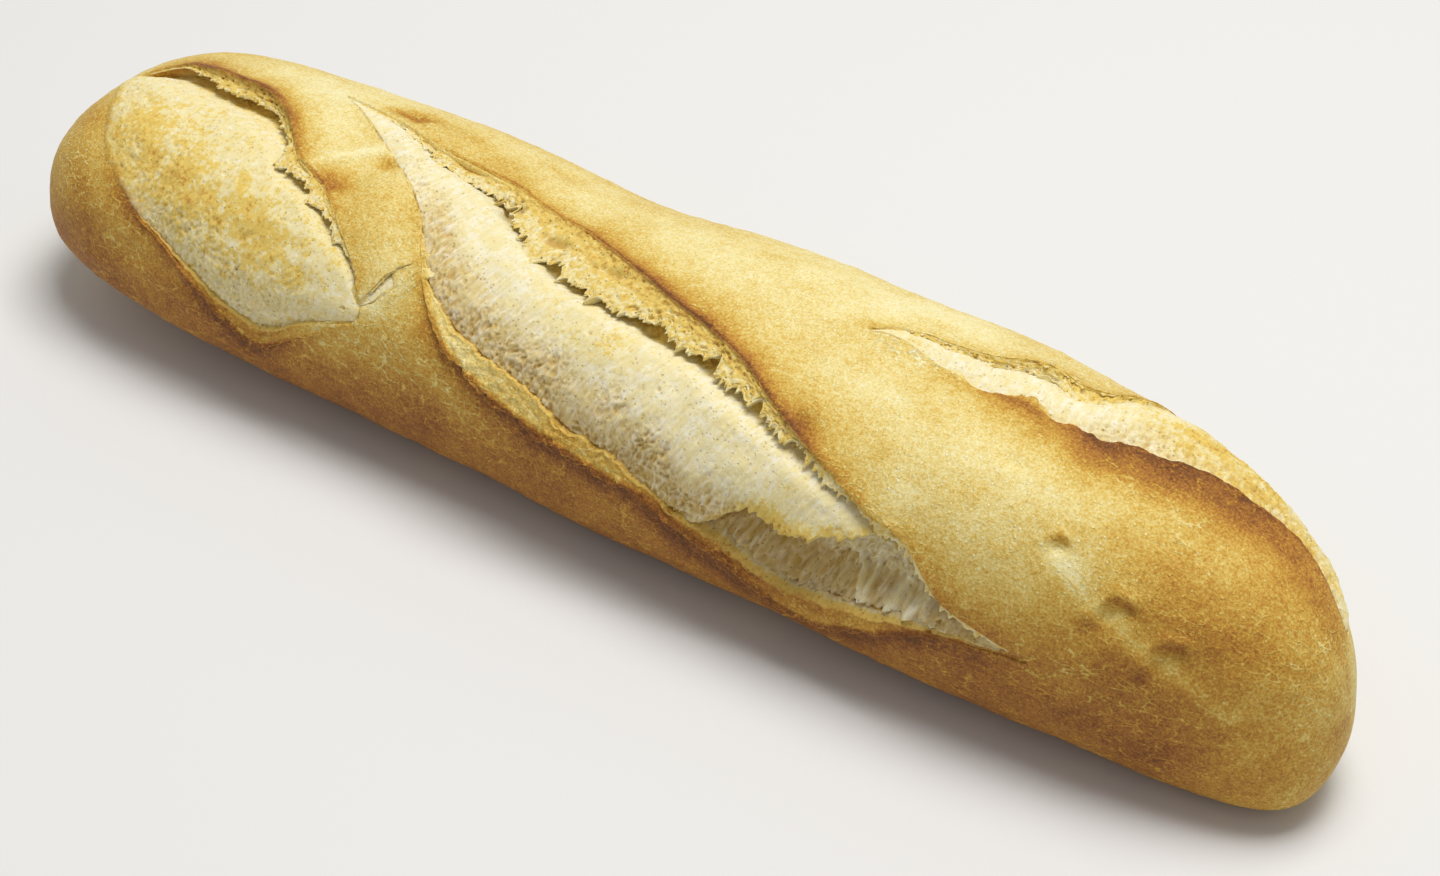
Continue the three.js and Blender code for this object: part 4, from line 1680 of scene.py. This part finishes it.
@dataclass(frozen=True)
class Cave:
    """Where the crumb tore away below a ragged shelf, near the right tip of the middle cut.

    Attributes:
        edge_runs: Where along the cut the shelf's edge bends.
        edge_steps: How far to the front the edge is there.
        depth: How far the cave lies below the shelf.
        ragged: How ragged the shelf's edge is.
        edge_ripples: The two sizes of its raggedness.
        edge_waves: What frays it.
        begins: Between which runs its shelf becomes steep.
        ends: Between which runs the cave ends.
        closes: Between which runs its last stretch begins, which is deeper and has painted shade.
        cell_size: How long and wide its large cells are.
        cell_bend: What bends their walls.
        tufts: The fine relief of its floor.
        wall: Height of the walls between its cells.
        web: Height of the webs.
        under_lip: How much deeper it is below the back lip.
        webs: The folds that cross the cave.
    """

    edge_runs: Profile = (0.62, 0.66, 0.69, 0.708, 0.734, 0.752, 0.768, 0.786, 0.802, 0.813, 0.828, 1.0)
    edge_steps: Profile = (30.0, 22.0, 14.0, 10.5, 11.0, 9.1, 7.5, 4.5, 3.0, -0.5, -5.0, -9.0)
    depth: float = 8.4
    ragged: float = 2.4
    edge_ripples: tuple[Ripple, ...] = (Ripple(0.6, 3.2, 91), Ripple(0.5, 1.1, 93))
    edge_waves: Wave = Wave(0.5, 1.3, 1.3, 94)
    begins: tuple[float, float] = (0.655, 0.70)
    ends: tuple[float, float] = (0.90, 0.99)
    closes: tuple[float, float] = (0.86, 0.94)
    cell_size: tuple[float, float] = (12.0, 14.0)
    cell_bend: Wave = Wave(0.5, 6, 6, 3.5)
    tufts: Wave = Wave(1.0, 1.5, 3.0, 50, layers=3, gain=0.65)
    wall: float = 0.7
    web: float = 1.4
    under_lip: float = 3.4
    webs: tuple[Web, ...] = (
        Web((0.795, 6.8), (0.831, 13.0), 0.50),
        Web((0.820, 2.6), (0.835, 12.6), 0.45),
        Web((0.864, 1.6), (0.861, 10.4), 0.70),
        Web((0.889, 2.8), (0.880, 8.6), 0.60),
    )

    def _walls(self, spots: Spots) -> Array:
        """The thin walls between the cave's large cells.

        Args:
            spots: Places in the cut's opening.

        Returns:
            How near each place is to one.
        """
        bent = self.cell_bend.at(spots.way, spots.step, 0.0)
        long, wide = self.cell_size
        nearest, second = GRAIN.cells(spots.way / long + bent, spots.step / wide, 2.5)
        wall = hump((second - nearest) * 7.5, 0.8)
        return wall * ramp(spots.from_front, 0, 3) * ramp(spots.run, 0.76, 0.80)

    def hollowing(self, spots: Spots) -> Hollowing:
        """What the cave does at places of its cut.

        Args:
            spots: Places in the cut's opening.

        Returns:
            What it does at each place.
        """
        run, step, way = spots.run, spots.step, spots.way
        edge = np.interp(run, self.edge_runs, self.edge_steps)
        edge = edge + self.ragged * sum(ripple.at(way, 0.0) for ripple in self.edge_ripples)
        past = step - edge - self.edge_waves.at(way, step, 0.0)
        begun = ramp(run, *self.begins)
        inside = ramp(past, 0, 3.9 - 3.0 * begun) * (1 - ramp(run, *self.ends))
        under_lip = inside * (1 - ramp(spots.from_back, -1.0, 5.5))
        web = inside * np.max([web.near(spots) for web in self.webs], axis=0)
        end = ramp(run, *self.closes)
        to_front = 0.22 + 0.78 * ramp(spots.from_front, 0.5, 7.0)
        depth = inside * self.depth * to_front * ramp(spots.width, 0.5, 14.0)
        depth += self.under_lip * under_lip * ramp(spots.width, 3.0, 9.0) - self.web * web
        depth -= self.wall * inside * self._walls(spots)
        depth += 1.1 * end * ramp(spots.from_front, 0.2, 2.0) * ramp(spots.width, 0.5, 4.0)
        return Hollowing(
            inside=inside,
            near=hump(np.minimum(past + 0.2, 0), 2.4) * (past < 0.9) * begun,
            web=web,
            depth=depth,
            relief=inside * (1 - 0.75 * spots.calm) * self.tufts.at(way, step, spots.cut.seed),
            # painted shade under the back lip and in the cave's last stretch
            dark=0.4 * under_lip + 0.45 * end,
        )


@dataclass(frozen=True)
class Crumb:
    """The crumb that rose in one cut: fibres drawn out across it, with open cells towards the front lip."""

    cut: Cut
    spacing: float = 0.29
    bulges: Wave = Wave(0.55, 13, 10, layers=3, gain=0.45)
    lean: float = 0.2
    sunk: float = 0.3
    swollen: float = 0.55
    root: float = 9.0
    top_share: float = 0.9
    thread: float = 0.24
    wide_cell: float = 0.36
    small_cell: float = 0.34
    pore: float = 0.6
    warps: tuple[Wave, ...] = (Wave(1.8, 15, 12, 11), Wave(0.7, 4, 5, 12), Wave(0.4, 1.7, 2.1, 13))
    wide_cells: Cells = Cells(1.35, 2.3, 1)
    small_cells: Cells = Cells(0.85, 1.3, 2)
    round_cells: Cells = Cells(2.4, 2.4, 7)
    threads: Wave = Wave(1.0, 1.3, 9.0, 3)
    wisps: Wave = Wave(0.15, 0.9, 5.0, 5, layers=3, gain=0.6)
    inner_relief: Wave = Wave(0.5, 2.2, 2.0, 40, layers=3, gain=0.6)
    blotches: Wave = Wave(0.5, 6, 5, 30, layers=4, gain=0.75)
    wander: Wave = Wave(4.0, 5, 4, 31, layers=4, gain=0.7)
    patches: Wave = Wave(1.0, 9, 7, 4)
    bends: Wave = Wave(0.8, 2.6, 3.4, 14)
    porous: Wave = Wave(1.0, 12, 9, 8)

    def _level(self, spots: Spots) -> Array:
        """The crumb's large form: its height over the skin.

        Args:
            spots: Places in the cut's opening.

        Returns:
            The height at each place.
        """
        cut = self.cut
        width = spots.width
        level = cut.crown * np.sin(np.pi * spots.share) * spots.small - self.sunk
        level += self.swollen * spots.spread * spots.share
        level += 0.3 * ramp(spots.share, 0.6, 1.0)
        level -= spots.drop * (1 - ramp(spots.from_back, -2.0, spots.rise)) * (0.35 + 0.65 * spots.small)
        level -= through(cut.dip, spots.run) * (1 - ramp(spots.from_front, -1.0, 0.4 * width + 1)) ** 1.3
        level -= 1.3 * ramp(-spots.from_front, 0, np.maximum(spots.overlap, 0.5))
        for tongue in cut.tongues:
            if tongue.side is Side.BACK and tongue.reach < 0:
                beside_it = hump((spots.run - tongue.run) * cut.length, 1.3 * tongue.half)
                level += 0.8 * tongue.reach * beside_it * hump(spots.from_back + 0.5, 1.8)
        return level + self.bulges.at(spots.way, spots.step, cut.seed) * spots.small

    def _relief(self, spots: Spots) -> tuple[Array, Array]:
        """The torn surface's fine relief, and the painted shade of its cells and of its lower, open part.

        Args:
            spots: Places in the cut's opening.

        Returns:
            The relief, and that painted shade from 0 to 1.
        """
        way, step, share, seed = spots.way, spots.step, spots.share, self.cut.seed
        across = way + self.lean * step + sum(wave.at(way, step, seed) for wave in self.warps)
        open_share = self.cut.cells * (0.2 + 0.8 * ramp(spots.width, 7, 20))
        low = 0.05 + 0.95 * np.sqrt(open_share) * ramp(share, 0.34, 0.80)
        patchy = ramp(self.patches.at(way, step, seed) + 0.9 * (share - 0.5), -0.4, 0.4)
        bent = step + self.bends.at(way, step, seed)
        nearest, second = self.wide_cells.at(across, bent, seed)
        wide_cell = ramp(second - nearest, 0.04, 0.4) * low * patchy
        nearest, second = self.small_cells.at(across, bent, seed)
        small_cell = ramp(second - nearest, 0.05, 0.5) * (0.15 + 0.85 * low) * (0.4 + 0.6 * patchy)
        threads = (1 - np.abs(self.threads.at(across, step, seed))) ** 5
        nearest, _ = self.round_cells.at(way, step, seed)
        pores = ramp(0.26 - nearest, 0, 0.2) * ramp(self.porous.at(way, step, seed), 0.0, 0.5)
        relief = self.thread * threads * (0.5 + 0.5 * low) + self.wisps.at(across, step, seed)
        relief = relief - self.wide_cell * wide_cell - self.small_cell * small_cell - self.pore * pores
        # painted shade: in the cells and pores and over the crumb's lower, open part, less on its threads
        painted_shade = 0.30 * wide_cell + 0.24 * small_cell + 0.6 * pores - 0.2 * threads
        painted_shade = painted_shade + 0.62 * np.sqrt(open_share) * low
        return relief * (1 - 0.85 * spots.calm), np.clip(painted_shade * (1 - 0.3 * spots.calm), 0, 1)

    def surface(self, run: Array, step: Array) -> tuple[Array, Numbers]:
        """The crumb's surface.

        Args:
            run: Shares of the cut's length.
            step: Steps to the front of its line.

        Returns:
            The height over the skin, and the numbers that the material reads.
        """
        cut = self.cut
        seed = cut.seed
        spots = Spots(cut, run, step)
        way = spots.way
        relief, painted_shade = self._relief(spots)
        cave = Cave().hollowing(spots) if cut.name is CutName.MIDDLE else Hollowing()
        # The crumb just under the back lip: rougher relief, and painted shade that makes it browner and
        # darker.
        inner = (1 - ramp(spots.from_back, -2.5, 0.28 * spots.rise)) * ramp(spots.drop, 1.2, 3.6)
        relief += inner * self.inner_relief.at(way, step, seed) + cave.relief
        painted_shade = np.clip(painted_shade + 0.35 * inner + cave.dark, 0, 1)
        toast_and_shade = total(TOASTED, spots.along, spots.girth) + cut.toasted
        toast_and_shade *= 0.9 + self.blotches.at(way, step, seed)
        toast_and_shade += 0.6 * cave.near * (1 - cave.inside) + 1.1 * inner
        crusty = spots.spread * (1 - ramp(spots.from_front + self.wander.at(way, step, seed), -3.0, 5.0))
        level = self._level(spots) - cave.depth + crusty * Crust().unevenness(spots.along, spots.girth)
        numbers = {
            "bake": bake_and_shade_level(spots.along, spots.girth),
            "torn": 1 - crusty,
            "toast_and_shade": np.clip(toast_and_shade * (1 - cave.inside), 0, 1),
            # painted shade: more in the cave, less on its webs
            "painted_shade": np.clip(painted_shade * (1 - 0.4 * cave.inside) + 0.30 * cave.inside - 0.6 * cave.web, 0, 1),
            "way": way,
            "step": step,
        }
        return level + relief * (0.3 + 0.7 * spots.small) * (1 - 0.8 * crusty), numbers

    def _form(self, u: Array, v: Array) -> tuple[Array, Numbers]:
        """Lay the crumb in its trench: over the top for most of the grid, and back underneath.

        Args:
            u: How far along the piece, from 0 to 1.
            v: How far across or round it, from 0 to 1.

        Returns:
            The places, and the numbers that the material reads.
        """
        cut = self.cut
        run = run_of(u, 0.006)
        back, front = cut.openings(run)
        low = -back - 1.0 - 3.5 * ramp(back + front, 1, 12)
        high = front + 1.0 + through(cut.overlap, run)
        top = np.clip(v / self.top_share, 0, 1)
        below = np.clip((v - self.top_share) / (1 - self.top_share), 0, 1)
        step = np.where(below > 0, high + (low - high) * below, low + (high - low) * top)
        level, numbers = self.surface(run, step)
        places = cut.off(run, step, level - self.root * np.sqrt(np.sin(np.pi * below)))
        places[:, 2] = np.maximum(places[:, 2], 2.0)
        close_tips(places, u)
        return places, numbers

    def build(self) -> bpy.types.Object:
        """Form the crumb.

        Returns:
            The piece, closed.
        """
        stations = np.linspace(0, 1, 41)
        back, front = self.cut.openings(stations)
        widest = float(np.max(back + front + through(self.cut.overlap, stations))) + 5.5
        across = int(self.cut.length / self.spacing)
        down = int(widest / self.spacing / self.top_share)
        return formed_sheet(self.cut.piece("crumb"), across, down, self._form)


# ---------------------------------------------------------------- finishes
Colour = tuple[float, float, float]
Socket = bpy.types.NodeSocket
Value = Socket | float | tuple
Inputs = dict[int | str, Value]


def paint(red: int, green: int, blue: int) -> tuple[float, float, float, float]:
    """A display colour, 0 to 255, as the linear colour that a shader takes.

    Args:
        red: Its red part.
        green: Its green part.
        blue: Its blue part.

    Returns:
        Its linear parts and its alpha.
    """
    linear = []
    for part in (red / 255, green / 255, blue / 255):
        linear.append(part / 12.92 if part <= 0.04045 else ((part + 0.055) / 1.055) ** 2.4)
    return (*linear, 1.0)


class Nodes:
    """A node tree, built up one node at a time."""

    def __init__(self, tree: bpy.types.NodeTree) -> None:
        """Start on a tree."""
        self.tree = tree

    def feed(self, socket: Socket, value: Value) -> None:
        """Join a socket to another one, or set it to a plain value.

        Args:
            socket: The socket.
            value: The other socket, or the value.
        """
        if isinstance(value, bpy.types.NodeSocket):
            self.tree.links.new(value, socket)
        else:
            socket.default_value = value

    def add(self, kind: str, given: Inputs | None = None, **settings: object) -> bpy.types.Node:
        """Add a node.

        Args:
            kind: The node's type, after its "ShaderNode".
            given: What its inputs are given, by their numbers or names.
            settings: Its other settings.

        Returns:
            The node.
        """
        node = self.tree.nodes.new(f"ShaderNode{kind}")
        for key, value in settings.items():
            setattr(node, key, value)
        for key, value in (given or {}).items():
            self.feed(node.inputs[key], value)
        return node

    def maths(self, operation: str, *values: Value) -> Socket:
        """A sum of numbers."""
        return self.add("Math", dict(enumerate(values)), operation=operation).outputs[0]

    def product(self, first: Value, second: Value) -> Socket:
        """One number times another."""
        return self.maths("MULTIPLY", first, second)

    def pile(self, start: Value, *terms: tuple) -> Socket:
        """A start, plus an amount of each other value, or of its distance from its middle.

        Args:
            start: The start.
            terms: For each other value: the amount, the value, and its middle where that isn't 0.

        Returns:
            The sum.
        """
        for amount, value, *middle in terms:
            if middle:
                value = self.maths("SUBTRACT", value, *middle)
            start = self.maths("MULTIPLY_ADD", value, amount, start)
        return start

    def between(
        self, value: Value, low: float, high: float, to_low: float = 0.0, to_high: float = 1.0
    ) -> Socket:
        """A number stretched smoothly from one range to another."""
        parts = enumerate((value, low, high, to_low, to_high))
        return self.add("MapRange", dict(parts), interpolation_type="SMOOTHSTEP").outputs[0]

    def blend(self, share: Value, first: Value, second: Value) -> Socket:
        """A mix of two colours."""
        return self.add("Mix", {0: share, 6: first, 7: second}, data_type="RGBA").outputs[2]

    def blend_numbers(self, share: Value, first: Value, second: Value) -> Socket:
        """A mix of two numbers."""
        return self.add("Mix", {0: share, 2: first, 3: second}, data_type="FLOAT").outputs[0]

    def stored(self, name: str) -> Socket:
        """A number stored on the piece."""
        return self.add("Attribute", attribute_name=name).outputs["Fac"]

    def noise(self, where: Value, scale: float, detail: float = 2.0, rough: float = 0.5) -> Socket:
        """Noise from about 0 to 1."""
        given = {"Vector": where, "Scale": scale, "Detail": detail, "Roughness": rough}
        return self.add("TexNoise", given).outputs["Fac"]

    def warped(self, where: Value, scale: float, amount: float) -> Socket:
        """Coordinates pushed about by noise, so that what reads them wanders.

        Args:
            where: The coordinates.
            scale: Waves to a unit.
            amount: How far they are pushed.

        Returns:
            The pushed coordinates.
        """
        push = self.add("TexNoise", {"Vector": where, "Scale": scale}).outputs["Color"]
        given = {0: push, 1: (amount, amount, amount), 2: where}
        return self.add("VectorMath", given, operation="MULTIPLY_ADD").outputs[0]

    def cells(self, where: Value, scale: float, feature: str = "F1") -> bpy.types.Node:
        """Scattered cells."""
        return self.add("TexVoronoi", {"Vector": where, "Scale": scale}, feature=feature)

    def some_dots(self, where: Value, scale: float, size: Profile, chosen: Profile) -> Socket:
        """Dots at the middle of some cells.

        Args:
            where: The coordinates.
            scale: Cells to a unit.
            size: Where a dot begins to fade and where it ends, in cells.
            chosen: Between which random shares the cells begin to have dots.

        Returns:
            1 in a dot and 0 elsewhere.
        """
        cells = self.cells(where, scale)
        dot = self.between(cells.outputs["Distance"], *size, 1.0, 0.0)
        random = self.add("SeparateColor", {0: cells.outputs["Color"]}).outputs[0]
        return self.product(dot, self.between(random, *chosen))

    def place(self, size: Colour = (1, 1, 1), turn: Colour = (0, 0, 0)) -> Socket:
        """The piece's own coordinates, in millimetres, turned and stretched.

        Args:
            size: How many times finer on each axis.
            turn: The turn about each axis.

        Returns:
            The coordinates.
        """
        scale = tuple(part / MM for part in size)
        own = self.add("TexCoord").outputs["Object"]
        return self.add("Mapping", {"Vector": own, "Rotation": turn, "Scale": scale}).outputs[0]

    def ramp(self, value: Value, stops: tuple[tuple[float, tuple], ...]) -> Socket:
        """A colour read from a row of colours.

        Args:
            value: Where to read it.
            stops: The places in the row and their colours.

        Returns:
            The colour.
        """
        node = self.add("ValToRGB", {0: value})
        row = node.color_ramp
        row.elements[0].position, row.elements[0].color = stops[0]
        row.elements[1].position, row.elements[1].color = stops[-1]
        for position, colour in stops[1:-1]:
            row.elements.new(position).color = colour
        return node.outputs[0]


class Effect:
    """A node group that more than one material uses: it puts out a colour and a height."""

    def __init__(self, name: str, inputs: tuple[str, ...]) -> None:
        """Set up the group's sockets.

        Args:
            name: The group's name.
            inputs: The names of the numbers it takes.
        """
        self.tree = bpy.data.node_groups.new(name, "ShaderNodeTree")
        sockets = [(key, "INPUT", "Float") for key in inputs]
        for key, way, kind in (*sockets, ("Colour", "OUTPUT", "Color"), ("Height", "OUTPUT", "Float")):
            self.tree.interface.new_socket(name=key, in_out=way, socket_type=f"NodeSocket{kind}")
        self.nodes = Nodes(self.tree)
        self.given = self.tree.nodes.new("NodeGroupInput").outputs
        self.result = self.tree.nodes.new("NodeGroupOutput").inputs

    def put_out(self, colour: Socket, height: Socket) -> "Effect":
        """Join the group's results.

        Args:
            colour: The colour.
            height: The height.

        Returns:
            The group itself.
        """
        self.nodes.feed(self.result["Colour"], colour)
        self.nodes.feed(self.result["Height"], height)
        return self

    def use(self, nodes: Nodes) -> tuple[Socket, Socket]:
        """Place the group in a material, fed by the numbers stored on the piece.

        Args:
            nodes: The material's nodes.

        Returns:
            The group's colour and its height.
        """
        placed = nodes.add("Group", node_tree=self.tree)
        for socket in placed.inputs:
            nodes.feed(socket, nodes.stored(socket.name.lower()))
        return placed.outputs["Colour"], placed.outputs["Height"]


@dataclass(frozen=True)
class BakedSkin:
    """Thin baked skin: golden to brown, with tiny pale blisters and fine pale wrinkles."""

    stops: tuple[tuple[float, tuple], ...] = (
        (0.00, paint(247, 240, 206)),
        (0.14, paint(244, 233, 176)),
        (0.28, paint(235, 214, 140)),
        (0.42, paint(220, 187, 93)),
        (0.56, paint(202, 154, 60)),
        (0.70, paint(178, 122, 48)),
        (0.84, paint(148, 92, 38)),
        (1.00, paint(104, 64, 30)),
    )
    clouds: float = 0.26
    mottle: float = 0.30
    mottle_height: float = 1.2
    grain: float = 0.90
    grain_height: float = 0.9
    dot_paler: float = 0.14
    dot_height: float = 0.5
    wrinkle_paler: float = 0.32
    wrinkle_height: float = 1.1

    def _wrinkles(self, nodes: Nodes, where: Socket, bake: Socket, crackle: Socket) -> Socket:
        """Fine broken lines, most where the crust crackled.

        Args:
            nodes: The group's nodes.
            where: The coordinates.
            bake: How brown the skin is.
            crackle: How much the crust crackled.

        Returns:
            1 on a line and 0 elsewhere.
        """
        slant = nodes.warped(nodes.place((0.55, 1.6, 1.3), (0.0, 0.0, -0.5)), 0.35, 2.4)
        crease = nodes.cells(slant, 0.36, "DISTANCE_TO_EDGE").outputs["Distance"]
        line = nodes.between(crease, 0.0, 0.09, 1.0, 0.0)
        line = nodes.product(line, nodes.between(nodes.noise(where, 0.45, 3.0, 0.6), 0.40, 0.56))
        some = nodes.between(nodes.noise(where, 0.06, 2.0), 0.40, 0.60, 0.15, 0.6)
        some = nodes.product(some, nodes.between(bake, 0.34, 0.54))
        return nodes.product(line, nodes.maths("MAXIMUM", some, crackle))

    def effect(self) -> Effect:
        """Build the node group.

        Returns:
            The node group.
        """
        group = Effect("baked_skin", ("Bake", "Crackle"))
        nodes = group.nodes
        where = nodes.place()
        bake = group.given["Bake"]
        mottle = nodes.noise(where, 0.7, 4.0, 0.65)
        grain = nodes.noise(where, 2.0, 4.0, 0.75)
        dot = nodes.some_dots(where, 0.9, (0.14, 0.30), (0.45, 0.6))
        wrinkle = self._wrinkles(nodes, where, bake, group.given["Crackle"])
        level = nodes.pile(
            bake,
            (self.clouds, nodes.noise(where, 0.13, 3.0, 0.55), 0.5),
            (self.mottle, mottle, 0.5),
            (self.grain, grain, 0.5),
            (-self.dot_paler, dot),
            (-self.wrinkle_paler, wrinkle),
        )
        height = nodes.pile(
            nodes.product(mottle, self.mottle_height),
            (self.dot_height, dot),
            (self.wrinkle_height, wrinkle),
            (self.grain_height, grain),
        )
        return group.put_out(nodes.ramp(level, self.stops), height)


@dataclass(frozen=True)
class TornCrumb:
    """Torn crumb: pale where drawn out, painted shade in its cells and recesses, golden where it toasted."""

    pale: tuple = paint(240, 233, 206)
    cream: tuple = paint(235, 221, 166)
    # the colour of the painted shade in cells and recesses
    deep: tuple = paint(196, 161, 86)
    golden: tuple = paint(228, 198, 104)
    brown: tuple = paint(196, 142, 58)
    drawn_out: float = 0.22
    creamy: tuple[float, float] = (0.34, 0.70)
    yellow_from: tuple[float, float] = (0.0, 0.30)
    golden_from: tuple[float, float] = (0.38, 0.66)
    brown_from: tuple[float, float] = (0.80, 1.3)
    shade_from: tuple[float, float] = (0.0, 1.05)
    fibre_height: float = 1.2
    fine_height: float = 0.8
    pore_depth: float = 1.2

    def effect(self) -> Effect:
        """Build the node group.

        Returns:
            The node group.
        """
        group = Effect("torn_crumb", ("Toast_and_shade", "Painted_shade", "Way", "Step"))
        nodes = group.nodes
        where = nodes.place()
        across = nodes.product(group.given["Step"], self.drawn_out)
        drawn = nodes.add("CombineXYZ", {0: group.given["Way"], 1: across}).outputs[0]
        fibre = nodes.noise(drawn, 1.1, 4.0, 0.7)
        fine = nodes.noise(where, 1.5, 4.0, 0.7)
        pore = nodes.some_dots(where, 1.3, (0.10, 0.30), (0.45, 0.7))
        cream = nodes.pile(nodes.noise(where, 0.3, 4.0, 0.65), (0.9, fibre, 0.5))
        blotch = nodes.noise(where, 0.7, 5.0, 0.75)
        level = nodes.pile(group.given["Toast_and_shade"], (1.4, fine, 0.5), (1.6, blotch, 0.5), (0.6, fibre, 0.5))
        # painted shade, varied by the fibres and darkest in pores
        deep = nodes.pile(group.given["Painted_shade"], (0.8, fibre, 0.5), (0.4, pore))
        colour = self.pale
        for value, reach, tint in (
            (cream, self.creamy, self.cream),
            (level, self.yellow_from, self.cream),
            (level, self.golden_from, self.golden),
            (level, self.brown_from, self.brown),
            (deep, self.shade_from, self.deep),
        ):
            colour = nodes.blend(nodes.between(value, *reach), colour, tint)
        height = nodes.product(fibre, self.fibre_height)
        height = nodes.pile(height, (self.fine_height, fine), (-self.pore_depth, pore))
        return group.put_out(colour, height)


@dataclass(frozen=True)
class Finish:
    """The finish of a piece: baked skin that turns into torn crumb where the piece is torn."""

    name: str
    roughness: float
    bump: float
    subsurface: float = 0.0
    specular: float = 0.22
    glow_radius: Colour = (0.9, 0.8, 0.5)
    glow_scale: float = 1.0
    bump_height: float = 0.25

    def material(self, skin: Effect, crumb: Effect) -> bpy.types.Material:
        """Make the material from the two shared effects.

        Args:
            skin: The baked skin.
            crumb: The torn crumb.

        Returns:
            The material.
        """
        material = bpy.data.materials.new(self.name)
        material.use_nodes = True
        material.node_tree.nodes.clear()
        nodes = Nodes(material.node_tree)
        torn = nodes.stored("torn")
        baked_colour, baked_height = skin.use(nodes)
        torn_colour, torn_height = crumb.use(nodes)
        relief = {
            "Strength": self.bump,
            "Distance": self.bump_height * MM,
            "Height": nodes.blend_numbers(torn, baked_height, torn_height),
        }
        surface = {
            "Base Color": nodes.blend(torn, baked_colour, torn_colour),
            "Normal": nodes.add("Bump", relief).outputs[0],
            "Roughness": self.roughness,
            "Specular IOR Level": self.specular,
            "Subsurface Weight": self.subsurface,
            "Subsurface Radius": self.glow_radius,
            "Subsurface Scale": self.glow_scale * MM,
        }
        shader = nodes.add("BsdfPrincipled", surface)
        nodes.add("OutputMaterial", {"Surface": shader.outputs[0]})
        return material


# ---------------------------------------------------------------- studio
@dataclass(frozen=True)
class Studio:
    """A pale floor, soft light from the back right, and the camera."""

    azimuth: float = 34.93
    elevation: float = 40.0
    distance: float = 600.0
    look_at: Colour = (-0.37, -1.743, 18.5)
    sensor: float = 36.0
    lens: float = 79.4
    shift: tuple[float, float] = (0.0372, -0.0251)
    lamp_at: Colour = (120.0, 160.0, 1200.0)
    lamp_size: float = 600.0
    lamp_power: float = 12.8
    lamp_tint: Colour = (1.0, 0.985, 0.95)
    floor_size: float = 6000.0
    floor_shade: float = 0.75
    floor_roughness: float = 0.9
    sky: float = 0.36

    def camera(self) -> None:
        """Set up the camera."""
        data = bpy.data.cameras.new("camera")
        data.sensor_width = self.sensor
        data.lens = self.lens
        data.shift_x, data.shift_y = self.shift
        data.clip_start = 10 * MM
        camera = bpy.data.objects.new("camera", data)
        bpy.context.scene.collection.objects.link(camera)
        az, el = math.radians(self.azimuth), math.radians(self.elevation)
        ahead = Vector((-math.sin(az) * math.cos(el), math.cos(az) * math.cos(el), -math.sin(el)))
        camera.location = (Vector(self.look_at) - ahead * self.distance) * MM
        camera.rotation_euler = ahead.to_track_quat("-Z", "Y").to_euler()
        bpy.context.scene.camera = camera

    def lamp(self) -> None:
        """Hang a square soft lamp that faces the loaf."""
        data = bpy.data.lights.new("key", "AREA")
        data.size = self.lamp_size * MM
        data.energy = self.lamp_power
        data.color = self.lamp_tint
        lamp = bpy.data.objects.new("key", data)
        lamp.location = Vector(self.lamp_at) * MM
        lamp.rotation_euler = (-lamp.location).to_track_quat("-Z", "Y").to_euler()
        bpy.context.scene.collection.objects.link(lamp)

    def floor(self) -> None:
        """Lay the pale floor."""
        deselect_all()
        bpy.ops.mesh.primitive_plane_add(size=self.floor_size * MM)
        floor = bpy.context.object
        floor.name = "floor"
        material = bpy.data.materials.new("floor")
        material.use_nodes = True
        shader = material.node_tree.nodes["Principled BSDF"]
        shader.inputs["Base Color"].default_value = (self.floor_shade,) * 3 + (1,)
        shader.inputs["Roughness"].default_value = self.floor_roughness
        floor.data.materials.append(material)

    def sky_light(self) -> None:
        """Light the scene evenly from all round."""
        world = bpy.data.worlds.new("studio")
        bpy.context.scene.world = world
        world.use_nodes = True
        background = world.node_tree.nodes["Background"]
        background.inputs["Color"].default_value = (1, 1, 1, 1)
        background.inputs["Strength"].default_value = self.sky

    def build(self) -> None:
        """Set up the floor, the lights and the camera."""
        self.floor()
        self.lamp()
        self.sky_light()
        bpy.context.scene.view_settings.view_transform = "Standard"
        self.camera()


# ---------------------------------------------------------------- the whole loaf
def main() -> None:
    """Build the loaf, dress it and set the stage."""
    Studio().build()
    effects = (BakedSkin().effect(), TornCrumb().effect())
    crust_finish = Finish("crust", roughness=0.55, bump=0.9).material(*effects)
    crumb_finish = Finish("crumb", roughness=0.85, bump=0.7, subsurface=0.25).material(*effects)
    keep(Crust().build(), crust_finish)
    for cut in CUTS:
        keep(Crumb(cut).build(), crumb_finish)
        for lip in (BackLip, Fringe, FrontLip):
            keep(lip(cut).build(), crust_finish)
    deselect_all()


if __name__ == "__main__":
    main()
